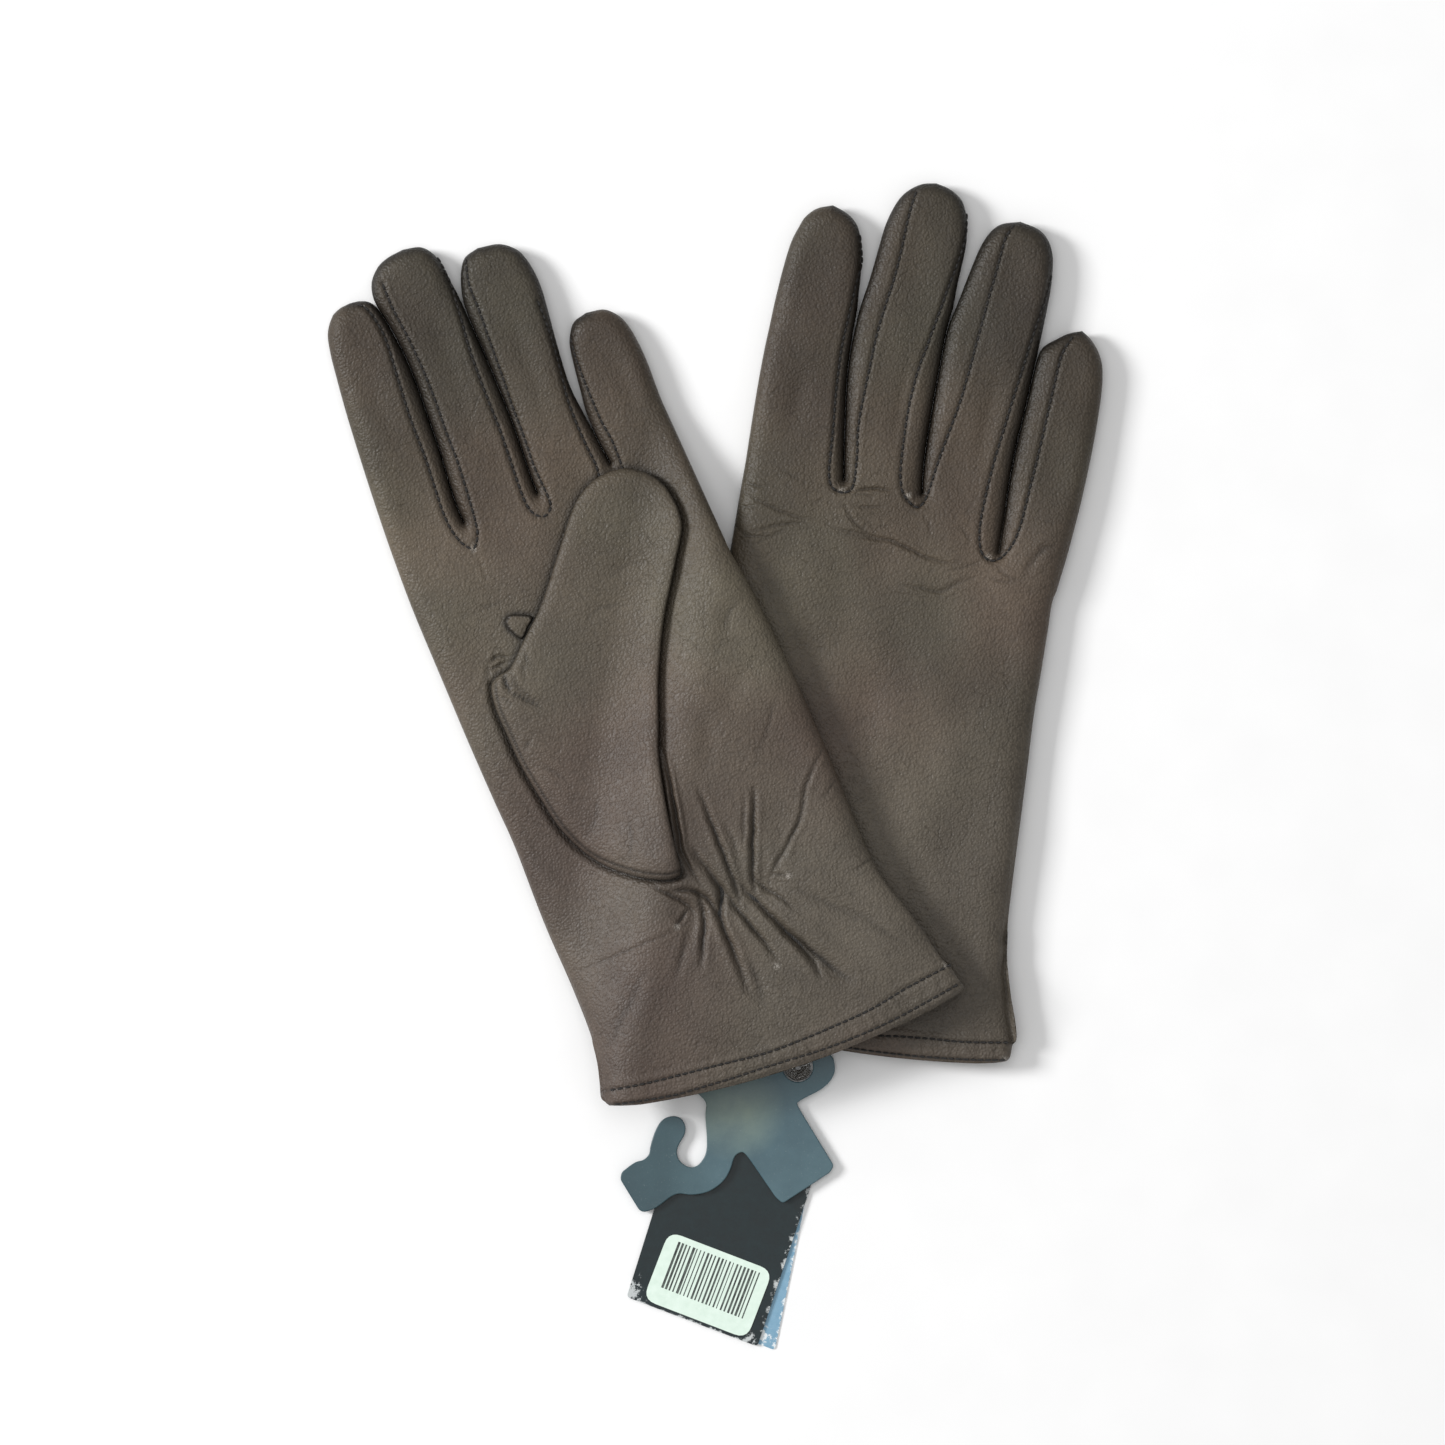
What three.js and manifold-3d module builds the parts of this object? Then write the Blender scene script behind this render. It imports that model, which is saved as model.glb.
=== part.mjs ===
// A pair of lined leather dress gloves on their shop hanger, in millimetres, +Z up.
// The right-hand glove lies back up on the surface. The left-hand glove lies palm up across it, its thumb
// folded over the palm. A plastic hanger with two swing cards is tied to the cuffs.
import * as THREE from 'three';
import { mergeVertices } from 'three/addons/utils/BufferGeometryUtils.js';
import Module from 'manifold-3d';

const wasm = await Module();
wasm.setup();

// ---- driving dimensions ----
const LEATHER = 0.8;          // thickness of the glove leather
const LINING = 0.8;           // thickness of the knitted lining
const GAP = 0.3;              // air left between neighbouring pieces
const HAND_THICK = 9.6;       // the hand of an empty glove, over both layers
const FINGER_THICK = 8.8;
const THUMB_THICK = 3.6;      // a thumb pressed flat against the palm
const THUMB_LINING = { thick: 0.6, drawIn: 0.12 };  // drawIn is a share of the thumb's width
const THUMB_CLEAR = 0.9;      // air between the folded thumb and the palm
const HEM_DEPTH = 10;         // leather turned in at the cuff
const CUFF_HALF_WIDTH = 57;
const DRAPE_HEIGHT = 10.9;    // how far the upper glove rides up over the lower one
const DRAPE_RUN = 32;         // length of the slope that leads up to it
const STACK = 4.4;            // least height of two walls of leather and lining lying on each other
const TUNNEL_HEIGHT = 4.5;    // room under the lower glove's palm for its folded thumb
const TUNNEL_START = 30;      // the palm lifts off the surface from here ...
const TUNNEL_FULL = 42;       // ... and is fully lifted from here on
const FOURCHETTE_WIDTH = 4.6; // how far a finger's side strip reaches round onto its faces
const FOURCHETTE_STOP = 16;   // the side strips start to taper this far from the fingertip
const ELASTIC = { halfLength: 16, y: 47, halfWidth: 3, thick: 0.6 };
const HANGER_THICK = 1.2;
const HANGER_BASE = 1.5;
const HANGER_HOLE = 4.6;       // radius
const OVERCUT = 3;            // how far a cutting body reaches past the piece that it opens
const BELOW = -40;            // a cutting body's lower and upper ends, clear of every piece
const ABOVE = 60;
const HEM_EYELET = { radius: 1, depth: 8, sides: 10 };
const CARD_THICK = 0.4;
const LOOP_RADIUS = 0.4;
const BOUNDS_SHIFT = [0.6, 0.2]; // centres the whole set on the origin

// Each glove: where its cuff centre lies, how far it is turned, and its outline.
// A row is [y, left x, right x], from the cuff to the knuckles or from a finger's root to its tip.
const GLOVES = {
  right: {
    at: [33.6, -85.2], turn: -10, palmUp: false, knuckle: 170,
    bow: x => 1.1 + 0.0016 * x * x,
    hand: [[0, -57, 56], [10, -56.2, 55], [30, -54.6, 49.2], [42, -54.4, 47.2], [60, -54.4, 46],
      [85, -54.2, 44.9], [110, -54.4, 43.8], [135, -54.8, 43.5], [155, -55, 44.8], [170, -55, 46.3]],
    fingers: {
      index: [[170, -55, -26.4], [195, -55.4, -28.6], [218, -54.9, -29.8], [237, -53.2, -31.3],
        [246, -50, -34], [250.5, -46, -39]],
      middle: [[170, -24.4, -2.2], [195, -27.8, -2.9], [224, -28.4, -1.9], [246, -26.1, -1],
        [257, -22.4, -3.2], [262.5, -17, -9]],
      ring: [[170, 0.2, 23.6], [195, -1.6, 24.4], [224, -1.3, 26.1], [241, 1.4, 26.5],
        [251, 5, 24.3], [255.5, 10, 18]],
      little: [[170, 25.4, 46.3], [190, 25.3, 47.2], [206, 25.5, 47.2], [217, 26.4, 46],
        [222.5, 30, 43.2], [226, 35, 40.5]],
    },
    thumb: { scale: 0.9, turn: -12, about: [-38, 95] },
  },
  left: {
    at: [21.1, -83.5], turn: 22, palmUp: true, knuckle: 182.5,
    bow: x => -7.2 + 0.0018 * (x - 18) ** 2,
    hand: [[0, -57, 57], [10, -55.4, 54.4], [25, -53.1, 50.3], [40, -53, 46], [60, -53.5, 44.8],
      [85, -53.3, 44.5], [110, -54.1, 43.8], [135, -54.7, 41.6], [160, -55, 39.7], [182.5, -54.6, 38.7]],
    fingers: {
      index: [[182.5, -54.6, -31.8], [200, -53.6, -30.1], [222, -51.7, -28.9], [240, -49.6, -29.4],
        [250, -47, -31.6], [256, -41, -35.5]],
      middle: [[182.5, -29.9, -8], [205, -29.4, -6.4], [228, -28.2, -6.3], [247, -29.6, -7],
        [259, -28.2, -8.5], [265, -20.5, -13]],
      ring: [[182.5, -6.2, 15.2], [205, -5.6, 14.3], [225, -5.7, 15.6], [241, -5.7, 17.3],
        [251, -4, 15.3], [257, 0.5, 8]],
      little: [[182.5, 17.6, 38.6], [196, 16.2, 38.3], [208, 17, 38.5], [218, 18.2, 37.5],
        [223.5, 20.2, 35.5], [226.8, 24.5, 31]],
    },
    thumb: { scale: 1, turn: 0, about: [-38, 95] },
  },
};

// The folded thumb: each row joins a point of its root side to one of its free side, from wrist to tip.
const THUMB_ROWS = [
  [[-21, 63.5], [-9.5, 60.5]], [[-31, 72], [-8, 70]], [[-37.5, 83], [-5.5, 83]], [[-41, 97], [-1.5, 98]],
  [[-43, 118], [6, 116]], [[-39, 135], [15, 134]], [[-26, 144], [21, 143]], [[-14, 156], [28, 153.5]],
  [[-2, 170], [30.5, 164]], [[6, 176.8], [28, 172.5]], [[13, 179.6], [20, 178.8]],
];
const THUMB_HOLE = [
  [-38, 118], [-34, 100], [-30, 86], [-22, 76], [-14, 82], [-12, 100], [-16, 118], [-28, 126],
];
const QUIRK = [[-30, 148], [-27.8, 151.2], [-24.8, 150.6], [-22.2, 148.4], [-25, 145.8], [-28.4, 143.6]];

// The side strips (fourchettes) sit on the faces of a finger that look at another finger.
const FOURCHETTE_SIDES = {
  index: ['outer'],
  middle: ['inner', 'outer'],
  ring: ['inner', 'outer'],
  little: ['inner'],
};

// The hanger's outline, from the centre of its hole: a hook on the left, a broad foot on the right.
const HANGER_AT = [24.8, -90];
const HANGER_OUTLINE = [
  [-31, -7.5], [-27.3, -10.6], [-28, -14.4], [-27.4, -20.5], [-27.4, -25.9], [-29.5, -29.5],
  [-32.2, -30.7], [-35.5, -28.9], [-36.7, -25.9], [-35.8, -23.2], [-34, -20.5], [-33.7, -17.8],
  [-35.2, -15.4], [-37.6, -14.7], [-40.6, -15.6], [-42.7, -18.4], [-44.5, -23.8], [-44.7, -26.5],
  [-46.6, -28.3], [-49, -28.6], [-53.2, -31.9], [-53.5, -34], [-47.8, -43.3], [-46.3, -43.9],
  [-42.7, -42.7], [-36.7, -37.9], [-32.2, -38.8], [-26.8, -37.9], [-22.2, -34.6], [-20.1, -30.7],
  [-19.2, -27.1], [-17.4, -25.7], [-15.9, -25.9], [-6.6, -39.4], [-4.5, -41.2], [9.7, -31.9],
  [10.9, -29.8], [-0.3, -11.4], [0, -10.5], [8.2, -6.3], [11.2, -2.4], [11.2, 0.9], [10.4, 3.4],
  [7.6, 4.8], [0, 5.8], [-8, 4.8], [-20, 1], [-31, -2.5],
];

// The two leaves of the swing card, from the centre of their pin.
const CARD_PIN_AT = [14.6, -97.5];
const CARD_HOLE = 1.6;        // radius
const CARD_PIN_RADIUS = 1;
const FRONT_CARD = [
  [-3, 4], [4, 4], [17.5, -18.5], [-2, -76.9], [-41.4, -62], [-32, -32], [-16.5, -24],
];
const BACK_CARD = [
  [-3, 3], [5, 3], [14.5, -20], [11.5, -38], [3.3, -78.1], [-6, -74.5], [-34, -61], [-16, -26],
];
const STICKER = { at: [-16.9, -58.4], width: 33.5, height: 22, corner: 3, thick: 0.15, lift: 0.1, turn: -21 };

// ---- small helpers ----
const radians = deg => deg * Math.PI / 180;

const turned = ([x, y], deg, [cx, cy] = [0, 0]) => {
  const c = Math.cos(radians(deg)), s = Math.sin(radians(deg));
  return [cx + (x - cx) * c - (y - cy) * s, cy + (x - cx) * s + (y - cy) * c];
};

const toSet = (glove, point) => {
  const [x, y] = turned(point, glove.turn);
  return [x + glove.at[0], y + glove.at[1]];
};

const fromSet = (glove, [x, y]) => turned([x - glove.at[0], y - glove.at[1]], -glove.turn);

const smooth = t => {
  const u = Math.min(Math.max(t, 0), 1);
  return u * u * (3 - 2 * u);
};

// How far a point of the upper glove is lifted by the lower one.
function drape(point) {
  const inside = fromSet(GLOVES.right, point)[0] - GLOVES.right.hand[4][1];
  return DRAPE_HEIGHT * smooth((inside + DRAPE_RUN) / (DRAPE_RUN - 2));
}

const tunnel = y => TUNNEL_HEIGHT * smooth((y - TUNNEL_START) / (TUNNEL_FULL - TUNNEL_START));

function solid(geometry) {
  const bare = geometry.clone();
  bare.deleteAttribute('normal');
  bare.deleteAttribute('uv');
  const merged = mergeVertices(bare, 1e-5);
  return new wasm.Manifold(new wasm.Mesh({
    numProp: 3,
    vertProperties: new Float32Array(merged.attributes.position.array),
    triVerts: new Uint32Array(merged.index.array),
  }));
}

function geometryOf(body) {
  const mesh = body.getMesh();
  const geometry = new THREE.BufferGeometry();
  geometry.setAttribute('position', new THREE.BufferAttribute(new Float32Array(mesh.vertProperties), 3));
  geometry.setIndex(new THREE.BufferAttribute(new Uint32Array(mesh.triVerts), 1));
  geometry.computeVertexNormals();
  return geometry;
}

// A straight-sided block over a plan outline.
function prism(points, low, high, holes = []) {
  const outline = points.map(([x, y]) => new THREE.Vector2(x, y));
  if (THREE.ShapeUtils.isClockWise(outline)) outline.reverse();
  const shape = new THREE.Shape(outline);
  for (const { at, radius } of holes) {
    const corners = Array.from({ length: 16 }, (_, i) => new THREE.Vector2(radius, 0)
      .rotateAround(new THREE.Vector2(), -i * Math.PI / 8).add(new THREE.Vector2(at[0], at[1])));
    shape.holes.push(new THREE.Path(corners));
  }
  const geometry = new THREE.ExtrudeGeometry(shape, { depth: high - low, bevelEnabled: false });
  return geometry.translate(0, 0, low);
}

// A closed pillow ruled between the left and right ends of its rows. The inset draws every face inwards,
// so that pillows with different insets nest; open ends reach past the outer pillow instead.
const level = () => 0;
function pillow(shape, inset, openTip = false) {
  const { rows, thick, edge, bow = level, floor = level, lift = level, openRoot = true } = shape;
  const half = thick / 2;
  const profile = [0, 0.56, 0.88, 1, 1, 0.88, 0.56, 0];
  const last = rows.length - 1;
  const vertices = [];
  const rings = rows.map((row, j) => {
    const { a, b, full } = row;
    const width = Math.hypot(b[0] - a[0], b[1] - a[1]);
    const near = Math.min(edge[0], width * 0.14), far = Math.min(edge[1], width * 0.32);
    const first = Math.min(inset, near * 0.85);
    const steps = [first, near, far];
    for (let k = 1; k <= row.across; k++) steps.push(far + (width - 2 * far) * k / (row.across + 1));
    steps.push(width - far, width - near, width - first);
    const heights = [...profile.slice(0, 3), ...Array(row.across).fill(1), ...profile.slice(5)];
    let slide = 0;
    if (inset > 0 && j === 0) slide = openRoot ? -OVERCUT : inset;
    if (inset > 0 && j === last) slide = openTip ? OVERCUT : -inset;
    const top = [], bottom = [];
    steps.forEach((step, k) => {
      const x = a[0] + (b[0] - a[0]) * step / width;
      const y = a[1] + (b[1] - a[1]) * step / width + slide + bow(x, row);
      const reach = half * heights[k] * full;
      const raise = lift(x, y);
      const ground = floor(row.a[1]);
      const isEdge = k === 0 || k === steps.length - 1;
      const edgeLevel = ground > 0 ? Math.max(half, ground + STACK / 2) : half;
      const base = Math.max(half - reach, ground);
      const crown = Math.max(half + reach, ground > 0 ? ground + STACK : 0);
      const middle = isEdge ? edgeLevel : (base + crown) / 2;
      const open = isEdge ? 0 : Math.max((crown - base) / 2 - inset, 0.3 - 0.14 * inset);
      const low = middle - open;
      const high = middle + open;
      top.push(vertices.push([x, y, high + raise]) - 1);
      if (!isEdge) bottom.push(vertices.push([x, y, low + raise]) - 1);
    });
    return [...top, ...bottom.reverse()];
  });
  const index = [];
  const size = rings[0].length, columns = size / 2 + 1;
  for (let j = 0; j < last; j++) {
    for (let k = 0; k < size; k++) {
      const [p, q] = [rings[j][k], rings[j][(k + 1) % size]];
      const [r, s] = [rings[j + 1][k], rings[j + 1][(k + 1) % size]];
      index.push(p, q, s, p, s, r);
    }
  }
  // End walls: strips between the upper and the lower points of the first and last ring.
  for (const [ring, flip] of [[rings[0], true], [rings[last], false]]) {
    const under = k => ring[(size - k) % size];
    const strip = (p, q, r) => index.push(...(flip ? [p, r, q] : [p, q, r]));
    for (let k = 0; k < columns - 1; k++) {
      if (k > 0) strip(ring[k], ring[k + 1], under(k));
      if (k < columns - 2) strip(ring[k + 1], under(k + 1), under(k));
    }
  }
  const geometry = new THREE.BufferGeometry();
  geometry.setAttribute('position', new THREE.Float32BufferAttribute(vertices.flat(), 3));
  geometry.setIndex(index);
  const body = solid(geometry);
  return body.volume() > 0 ? body : solid(flipped(geometry));
}

function flipped(geometry) {
  const index = geometry.index.array;
  for (let i = 0; i < index.length; i += 3) [index[i + 1], index[i + 2]] = [index[i + 2], index[i + 1]];
  return geometry;
}

// ---- materials ----
const finish = (color, roughness) => new THREE.MeshStandardMaterial({ color, roughness, metalness: 0 });
const LEATHER_FINISH = finish(0x4b443d, 0.55);
const LINING_FINISH = finish(0x2a2724, 0.95);
const ELASTIC_FINISH = finish(0x1d1c1c, 0.9);
const HANGER_FINISH = finish(0x4b646e, 0.4);
const LOOP_FINISH = finish(0xd9dde0, 0.3);
const BLACK_CARD_FINISH = finish(0x22262a, 0.6);
const BLUE_CARD_FINISH = finish(0x9dc3d6, 0.7);
const STICKER_FINISH = finish(0xdfeee2, 0.6);

const pair = new THREE.Group();
pair.position.set(BOUNDS_SHIFT[0], BOUNDS_SHIFT[1], 0);

function addNode(parent, name, body, material) {
  const geometry = body instanceof THREE.BufferGeometry ? body : geometryOf(body);
  const mesh = new THREE.Mesh(geometry, material);
  mesh.name = name;
  parent.add(mesh);
}

// ---- gloves ----
function handPillow(glove) {
  const end = glove.hand.at(-1)[0];
  return {
    rows: glove.hand.map(([y, left, right], j) => {
      const stop = j === glove.hand.length - 1 ? GAP / 2 : 0;
      return { a: [left, y - stop], b: [right, y - stop], full: 1, across: 4 };
    }),
    thick: HAND_THICK,
    edge: [3, 9],
    bow: (x, row) => glove.bow(x) * Math.max(0, 1 - row.a[1] / 40) * (row.a[1] < end ? 1 : 0),
    floor: y => (glove.palmUp ? 0 : tunnel(y)),
    lift: (x, y) => (glove.palmUp ? drape(toSet(glove, [x, y])) : 0),
  };
}

function addHand(group, side, glove) {
  const shape = handPillow(glove);
  const outside = pillow(shape, 0);
  const leatherInside = pillow(shape, LEATHER, true);
  const liningOutside = pillow(shape, LEATHER + GAP, true);
  const liningInside = pillow(shape, LEATHER + GAP + LINING, true);
  const elasticInside = pillow(shape, LEATHER + GAP + ELASTIC.thick, true);
  // The part of the hand within a distance of the curved cuff edge, and the part above that.
  const hemLine = rise => [-80, -40, -20, 0, 20, 40, 80].map(x => {
    const within = Math.sign(x) * Math.min(Math.abs(x), CUFF_HALF_WIDTH);
    return [x, glove.bow(within) + rise];
  });
  const hemPlan = [[-80, -90], ...hemLine(HEM_DEPTH), [80, -90]];
  const hemZone = solid(prism(hemPlan, BELOW, ABOVE));
  const end = glove.knuckle - GAP / 2;
  const handZone = solid(prism([...hemLine(HEM_DEPTH + GAP), [80, end], [-80, end]], BELOW, ABOVE));
  // The palm side of the thumb hole: above mid height when the palm looks up.
  const thumbHole = thumbPlan(glove, THUMB_HOLE);
  const [palmLow, palmHigh] = glove.palmUp ? [HAND_THICK / 2, ABOVE] : [BELOW, HAND_THICK / 2 + 1.2];
  const palmCut = outline => {
    const lifts = outline.map(([x, y]) => shape.lift(x, y));
    const base = glove.palmUp ? palmLow + Math.max(...lifts) : palmLow;
    return solid(prism(outline, base, palmHigh));
  };
  // The seam along the little finger side, where the folded leather closes.
  const seamPlan = [[30, 20], [80, 20], [80, glove.knuckle + 5], [30, glove.knuckle + 5]];
  const seam = glove.palmUp ? null : solid(prism(seamPlan, HAND_THICK / 2 - 0.05, HAND_THICK / 2 + 0.25));
  let trank = outside.subtract(leatherInside).subtract(palmCut(thumbHole));
  const inner = liningOutside.subtract(liningInside).subtract(palmCut(thumbHole));
  let facing = inner.intersect(hemZone).intersect(outside);
  let lining = inner.intersect(handZone);
  const { halfLength, y, halfWidth } = ELASTIC;
  const elasticPlan = grow => {
    const [reach, low, high] = [halfLength + grow, y - halfWidth - grow, y + halfWidth + grow];
    return [[-reach, low], [reach, low], [reach, high], [-reach, high]];
  };
  const elastic = liningOutside.subtract(elasticInside).intersect(palmCut(elasticPlan(0)));
  lining = lining.subtract(palmCut(elasticPlan(GAP)));
  if (!glove.palmUp) {
    const [hx, hy] = LOOP_HEM_AT;
    const { radius, depth, sides } = HEM_EYELET;
    const eyelet = new THREE.CylinderGeometry(radius, radius, depth, sides)
      .rotateX(Math.PI / 2)
      .translate(hx, hy, HAND_THICK);
    trank = trank.subtract(solid(eyelet));
    facing = facing.subtract(solid(eyelet));
  }
  if (seam) trank = trank.subtract(seam);
  addNode(group, `${side}_hand_trank`, trank, LEATHER_FINISH);
  addNode(group, `${side}_hand_lining`, lining, LINING_FINISH);
  addNode(group, `${side}_hem_facing`, facing, LEATHER_FINISH);
  addNode(group, `${side}_wrist_elastic`, elastic, ELASTIC_FINISH);
}

// A finger: a hairpin of leather folded over the tip, side strips, and the lining pressed flat inside.
function addFinger(group, side, glove, name, rows) {
  const tip = rows.at(-1)[0];
  const fullness = [1, 1, 1, 0.96, 0.8, 0.42];
  const shape = {
    rows: rows.map(([y, left, right], j) => {
      const start = j === 0 ? GAP / 2 : 0;
      return { a: [left, y + start], b: [right, y + start], full: fullness[j], across: 1 };
    }),
    thick: FINGER_THICK,
    edge: [2, 5],
    lift: (x, y) => (glove.palmUp ? drape(toSet(glove, [x, y])) : 0),
  };
  const outside = pillow(shape, 0);
  const core = pillow(shape, LEATHER + GAP);
  const shell = outside.subtract(pillow(shape, LEATHER));
  // The plan of a side strip: along one edge, tapering out before the tip.
  const strip = (edge, sign, width) => {
    const at = rows.slice(0, 4).map(row => [row[edge] - sign * width, row[0]]);
    at[0][1] -= 4;
    at[3][1] = Math.min(at[3][1], tip - FOURCHETTE_STOP);
    const out = [[rows[3][edge] + sign * 6, tip - 5], [rows[0][edge] + sign * 6, rows[0][0] - 4]];
    return solid(prism([...at, ...out], BELOW, ABOVE));
  };
  let stall = shell;
  for (const face of FOURCHETTE_SIDES[name]) {
    const [edge, sign] = face === 'outer' ? [2, 1] : [1, -1];
    const cut = strip(edge, sign, FOURCHETTE_WIDTH + GAP);
    const label = FOURCHETTE_SIDES[name].length > 1 ? `_${face}` : '';
    const fourchette = shell.intersect(strip(edge, sign, FOURCHETTE_WIDTH));
    addNode(group, `${side}_${name}_fourchette${label}`, fourchette, LEATHER_FINISH);
    stall = stall.subtract(cut);
  }
  const root = rows[0][0] + GAP / 2;
  const rootBlock = solid(prism([[-90, root], [90, root], [90, 300], [-90, 300]], BELOW, ABOVE));
  addNode(group, `${side}_${name}_stall`, stall, LEATHER_FINISH);
  addNode(group, `${side}_${name}_lining`, core.intersect(rootBlock), LINING_FINISH);
}

// Points of the folded thumb in the glove's own frame: the lower glove folds its thumb a little further.
const thumbPlan = (glove, points) => points.map(point => {
  const { scale, turn, about } = glove.thumb;
  const grown = [about[0] + (point[0] - about[0]) * scale, about[1] + (point[1] - about[1]) * scale];
  return turned(grown, turn, about);
});

function addThumb(group, side, glove) {
  const ends = thumbPlan(glove, THUMB_ROWS.flat());
  const base = glove.palmUp ? HAND_THICK + THUMB_CLEAR : 0;
  const fullness = [0.55, 0.9, 1, 1, 1, 1, 1, 1, 0.9, 0.75, 0.42];
  const shape = {
    rows: fullness.map((full, j) => ({ a: ends[2 * j], b: ends[2 * j + 1], full, across: 5 })),
    thick: THUMB_THICK,
    openRoot: false,
    edge: [1.6, 4],
    lift: (x, y) => base + (glove.palmUp ? drape(toSet(glove, [x, y])) : 0),
  };
  const inside = { ...shape, rows: shape.rows.slice(1, -1) };
  const drawnIn = (from, to) => from.map((v, i) => v + (to[i] - v) * THUMB_LINING.drawIn);
  const linen = {
    ...shape,
    rows: shape.rows.slice(2, -2).map(row => {
      const { a, b } = row;
      return { ...row, a: drawnIn(a, b), b: drawnIn(b, a) };
    }),
    thick: THUMB_LINING.thick,
    lift: (x, y) => shape.lift(x, y) + (THUMB_THICK - THUMB_LINING.thick) / 2,
  };
  const outside = pillow(shape, 0);
  const hole = solid(prism(thumbPlan(glove, THUMB_HOLE), BELOW, base + THUMB_THICK / 2 - 0.2));
  const highHole = solid(prism(thumbPlan(glove, THUMB_HOLE), base + THUMB_THICK / 2 + 0.2, ABOVE));
  const leather = outside.subtract(pillow(inside, LEATHER)).subtract(glove.palmUp ? hole : highHole);
  addNode(group, `${side}_thumb_leather`, leather, LEATHER_FINISH);
  addNode(group, `${side}_thumb_lining`, pillow(linen, 0), LINING_FINISH);
}

function addQuirk(group, side, glove) {
  const plan = thumbPlan(glove, QUIRK);
  const low = glove.palmUp ? HAND_THICK + GAP : TUNNEL_HEIGHT - GAP - LEATHER;
  addNode(group, `${side}_thumb_quirk`, prism(plan, low, low + LEATHER), LEATHER_FINISH);
}

// The clear fastener: through the hanger's hole, in at the lower glove's mouth, up through its hem.
const LOOP_HEM_AT = [-7.8, 5];
function fastenerLoop() {
  const [x] = LOOP_HEM_AT;
  const route = [
    [-3.2, 1.9], [-3.2, 3.3], [-0.6, 4.6], [3.6, 5.6], [5, 7], [5, 9.4], [3.8, 10.1],
    [1.6, 10.1], [0.45, 9.2], [0.45, 4], [0.45, 1.9], [-0.3, 0.8], [-1.6, 0.8], [-2.7, 0.9],
  ];
  const path = new THREE.CatmullRomCurve3(route.map(([y, z]) => new THREE.Vector3(x, y, z)));
  const section = new THREE.Shape();
  section.absarc(0, 0, LOOP_RADIUS, 0, 2 * Math.PI, false);
  return new THREE.ExtrudeGeometry(section, {
    steps: 30, curveSegments: 4, bevelEnabled: false, extrudePath: path });
}

for (const [side, glove] of Object.entries(GLOVES)) {
  const group = new THREE.Group();
  group.position.set(glove.at[0], glove.at[1], 0);
  group.rotation.z = radians(glove.turn);
  pair.add(group);
  addHand(group, side, glove);
  addThumb(group, side, glove);
  addQuirk(group, side, glove);
  for (const [name, rows] of Object.entries(glove.fingers)) addFinger(group, side, glove, name, rows);
  if (!glove.palmUp) addNode(group, 'fastener_loop', fastenerLoop(), LOOP_FINISH);
}

// ---- hanger and cards ----
const hanger = new THREE.Group();
hanger.position.set(HANGER_AT[0], HANGER_AT[1], 0);
pair.add(hanger);
addNode(hanger, 'hanger', prism(HANGER_OUTLINE, HANGER_BASE, HANGER_BASE + HANGER_THICK,
  [{ at: [0, 0], radius: HANGER_HOLE }]), HANGER_FINISH);

const cards = new THREE.Group();
cards.position.set(CARD_PIN_AT[0], CARD_PIN_AT[1], 0);
pair.add(cards);
const cardHole = [{ at: [0, 0], radius: CARD_HOLE }];
const frontBase = CARD_THICK + GAP;
const frontTop = frontBase + CARD_THICK;
const pinLow = 0.1, pinHigh = HANGER_BASE - GAP;
const pin = new THREE.CylinderGeometry(CARD_PIN_RADIUS, CARD_PIN_RADIUS, pinHigh - pinLow, 12)
  .rotateX(Math.PI / 2)
  .translate(0, 0, (pinLow + pinHigh) / 2);
addNode(cards, 'back_card', prism(BACK_CARD, 0, CARD_THICK, cardHole), BLUE_CARD_FINISH);
addNode(cards, 'front_card', prism(FRONT_CARD, frontBase, frontTop, cardHole), BLACK_CARD_FINISH);
addNode(cards, 'card_pin', pin, LOOP_FINISH);

function roundedRectangle({ width, height, corner }) {
  const points = [];
  for (const [sx, sy, start] of [[1, 1, 0], [-1, 1, 90], [-1, -1, 180], [1, -1, 270]]) {
    for (let step = 0; step <= 3; step++) {
      const angle = radians(start + 30 * step);
      points.push([sx * (width / 2 - corner) + corner * Math.cos(angle),
        sy * (height / 2 - corner) + corner * Math.sin(angle)]);
    }
  }
  return points;
}
const stickerBase = frontTop + STICKER.lift;
const stickerPlan = roundedRectangle(STICKER).map(point => turned(point, STICKER.turn))
  .map(([x, y]) => [x + STICKER.at[0], y + STICKER.at[1]]);
const sticker = prism(stickerPlan, stickerBase, stickerBase + STICKER.thick);
addNode(cards, 'card_sticker', sticker, STICKER_FINISH);

export default pair;
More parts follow.
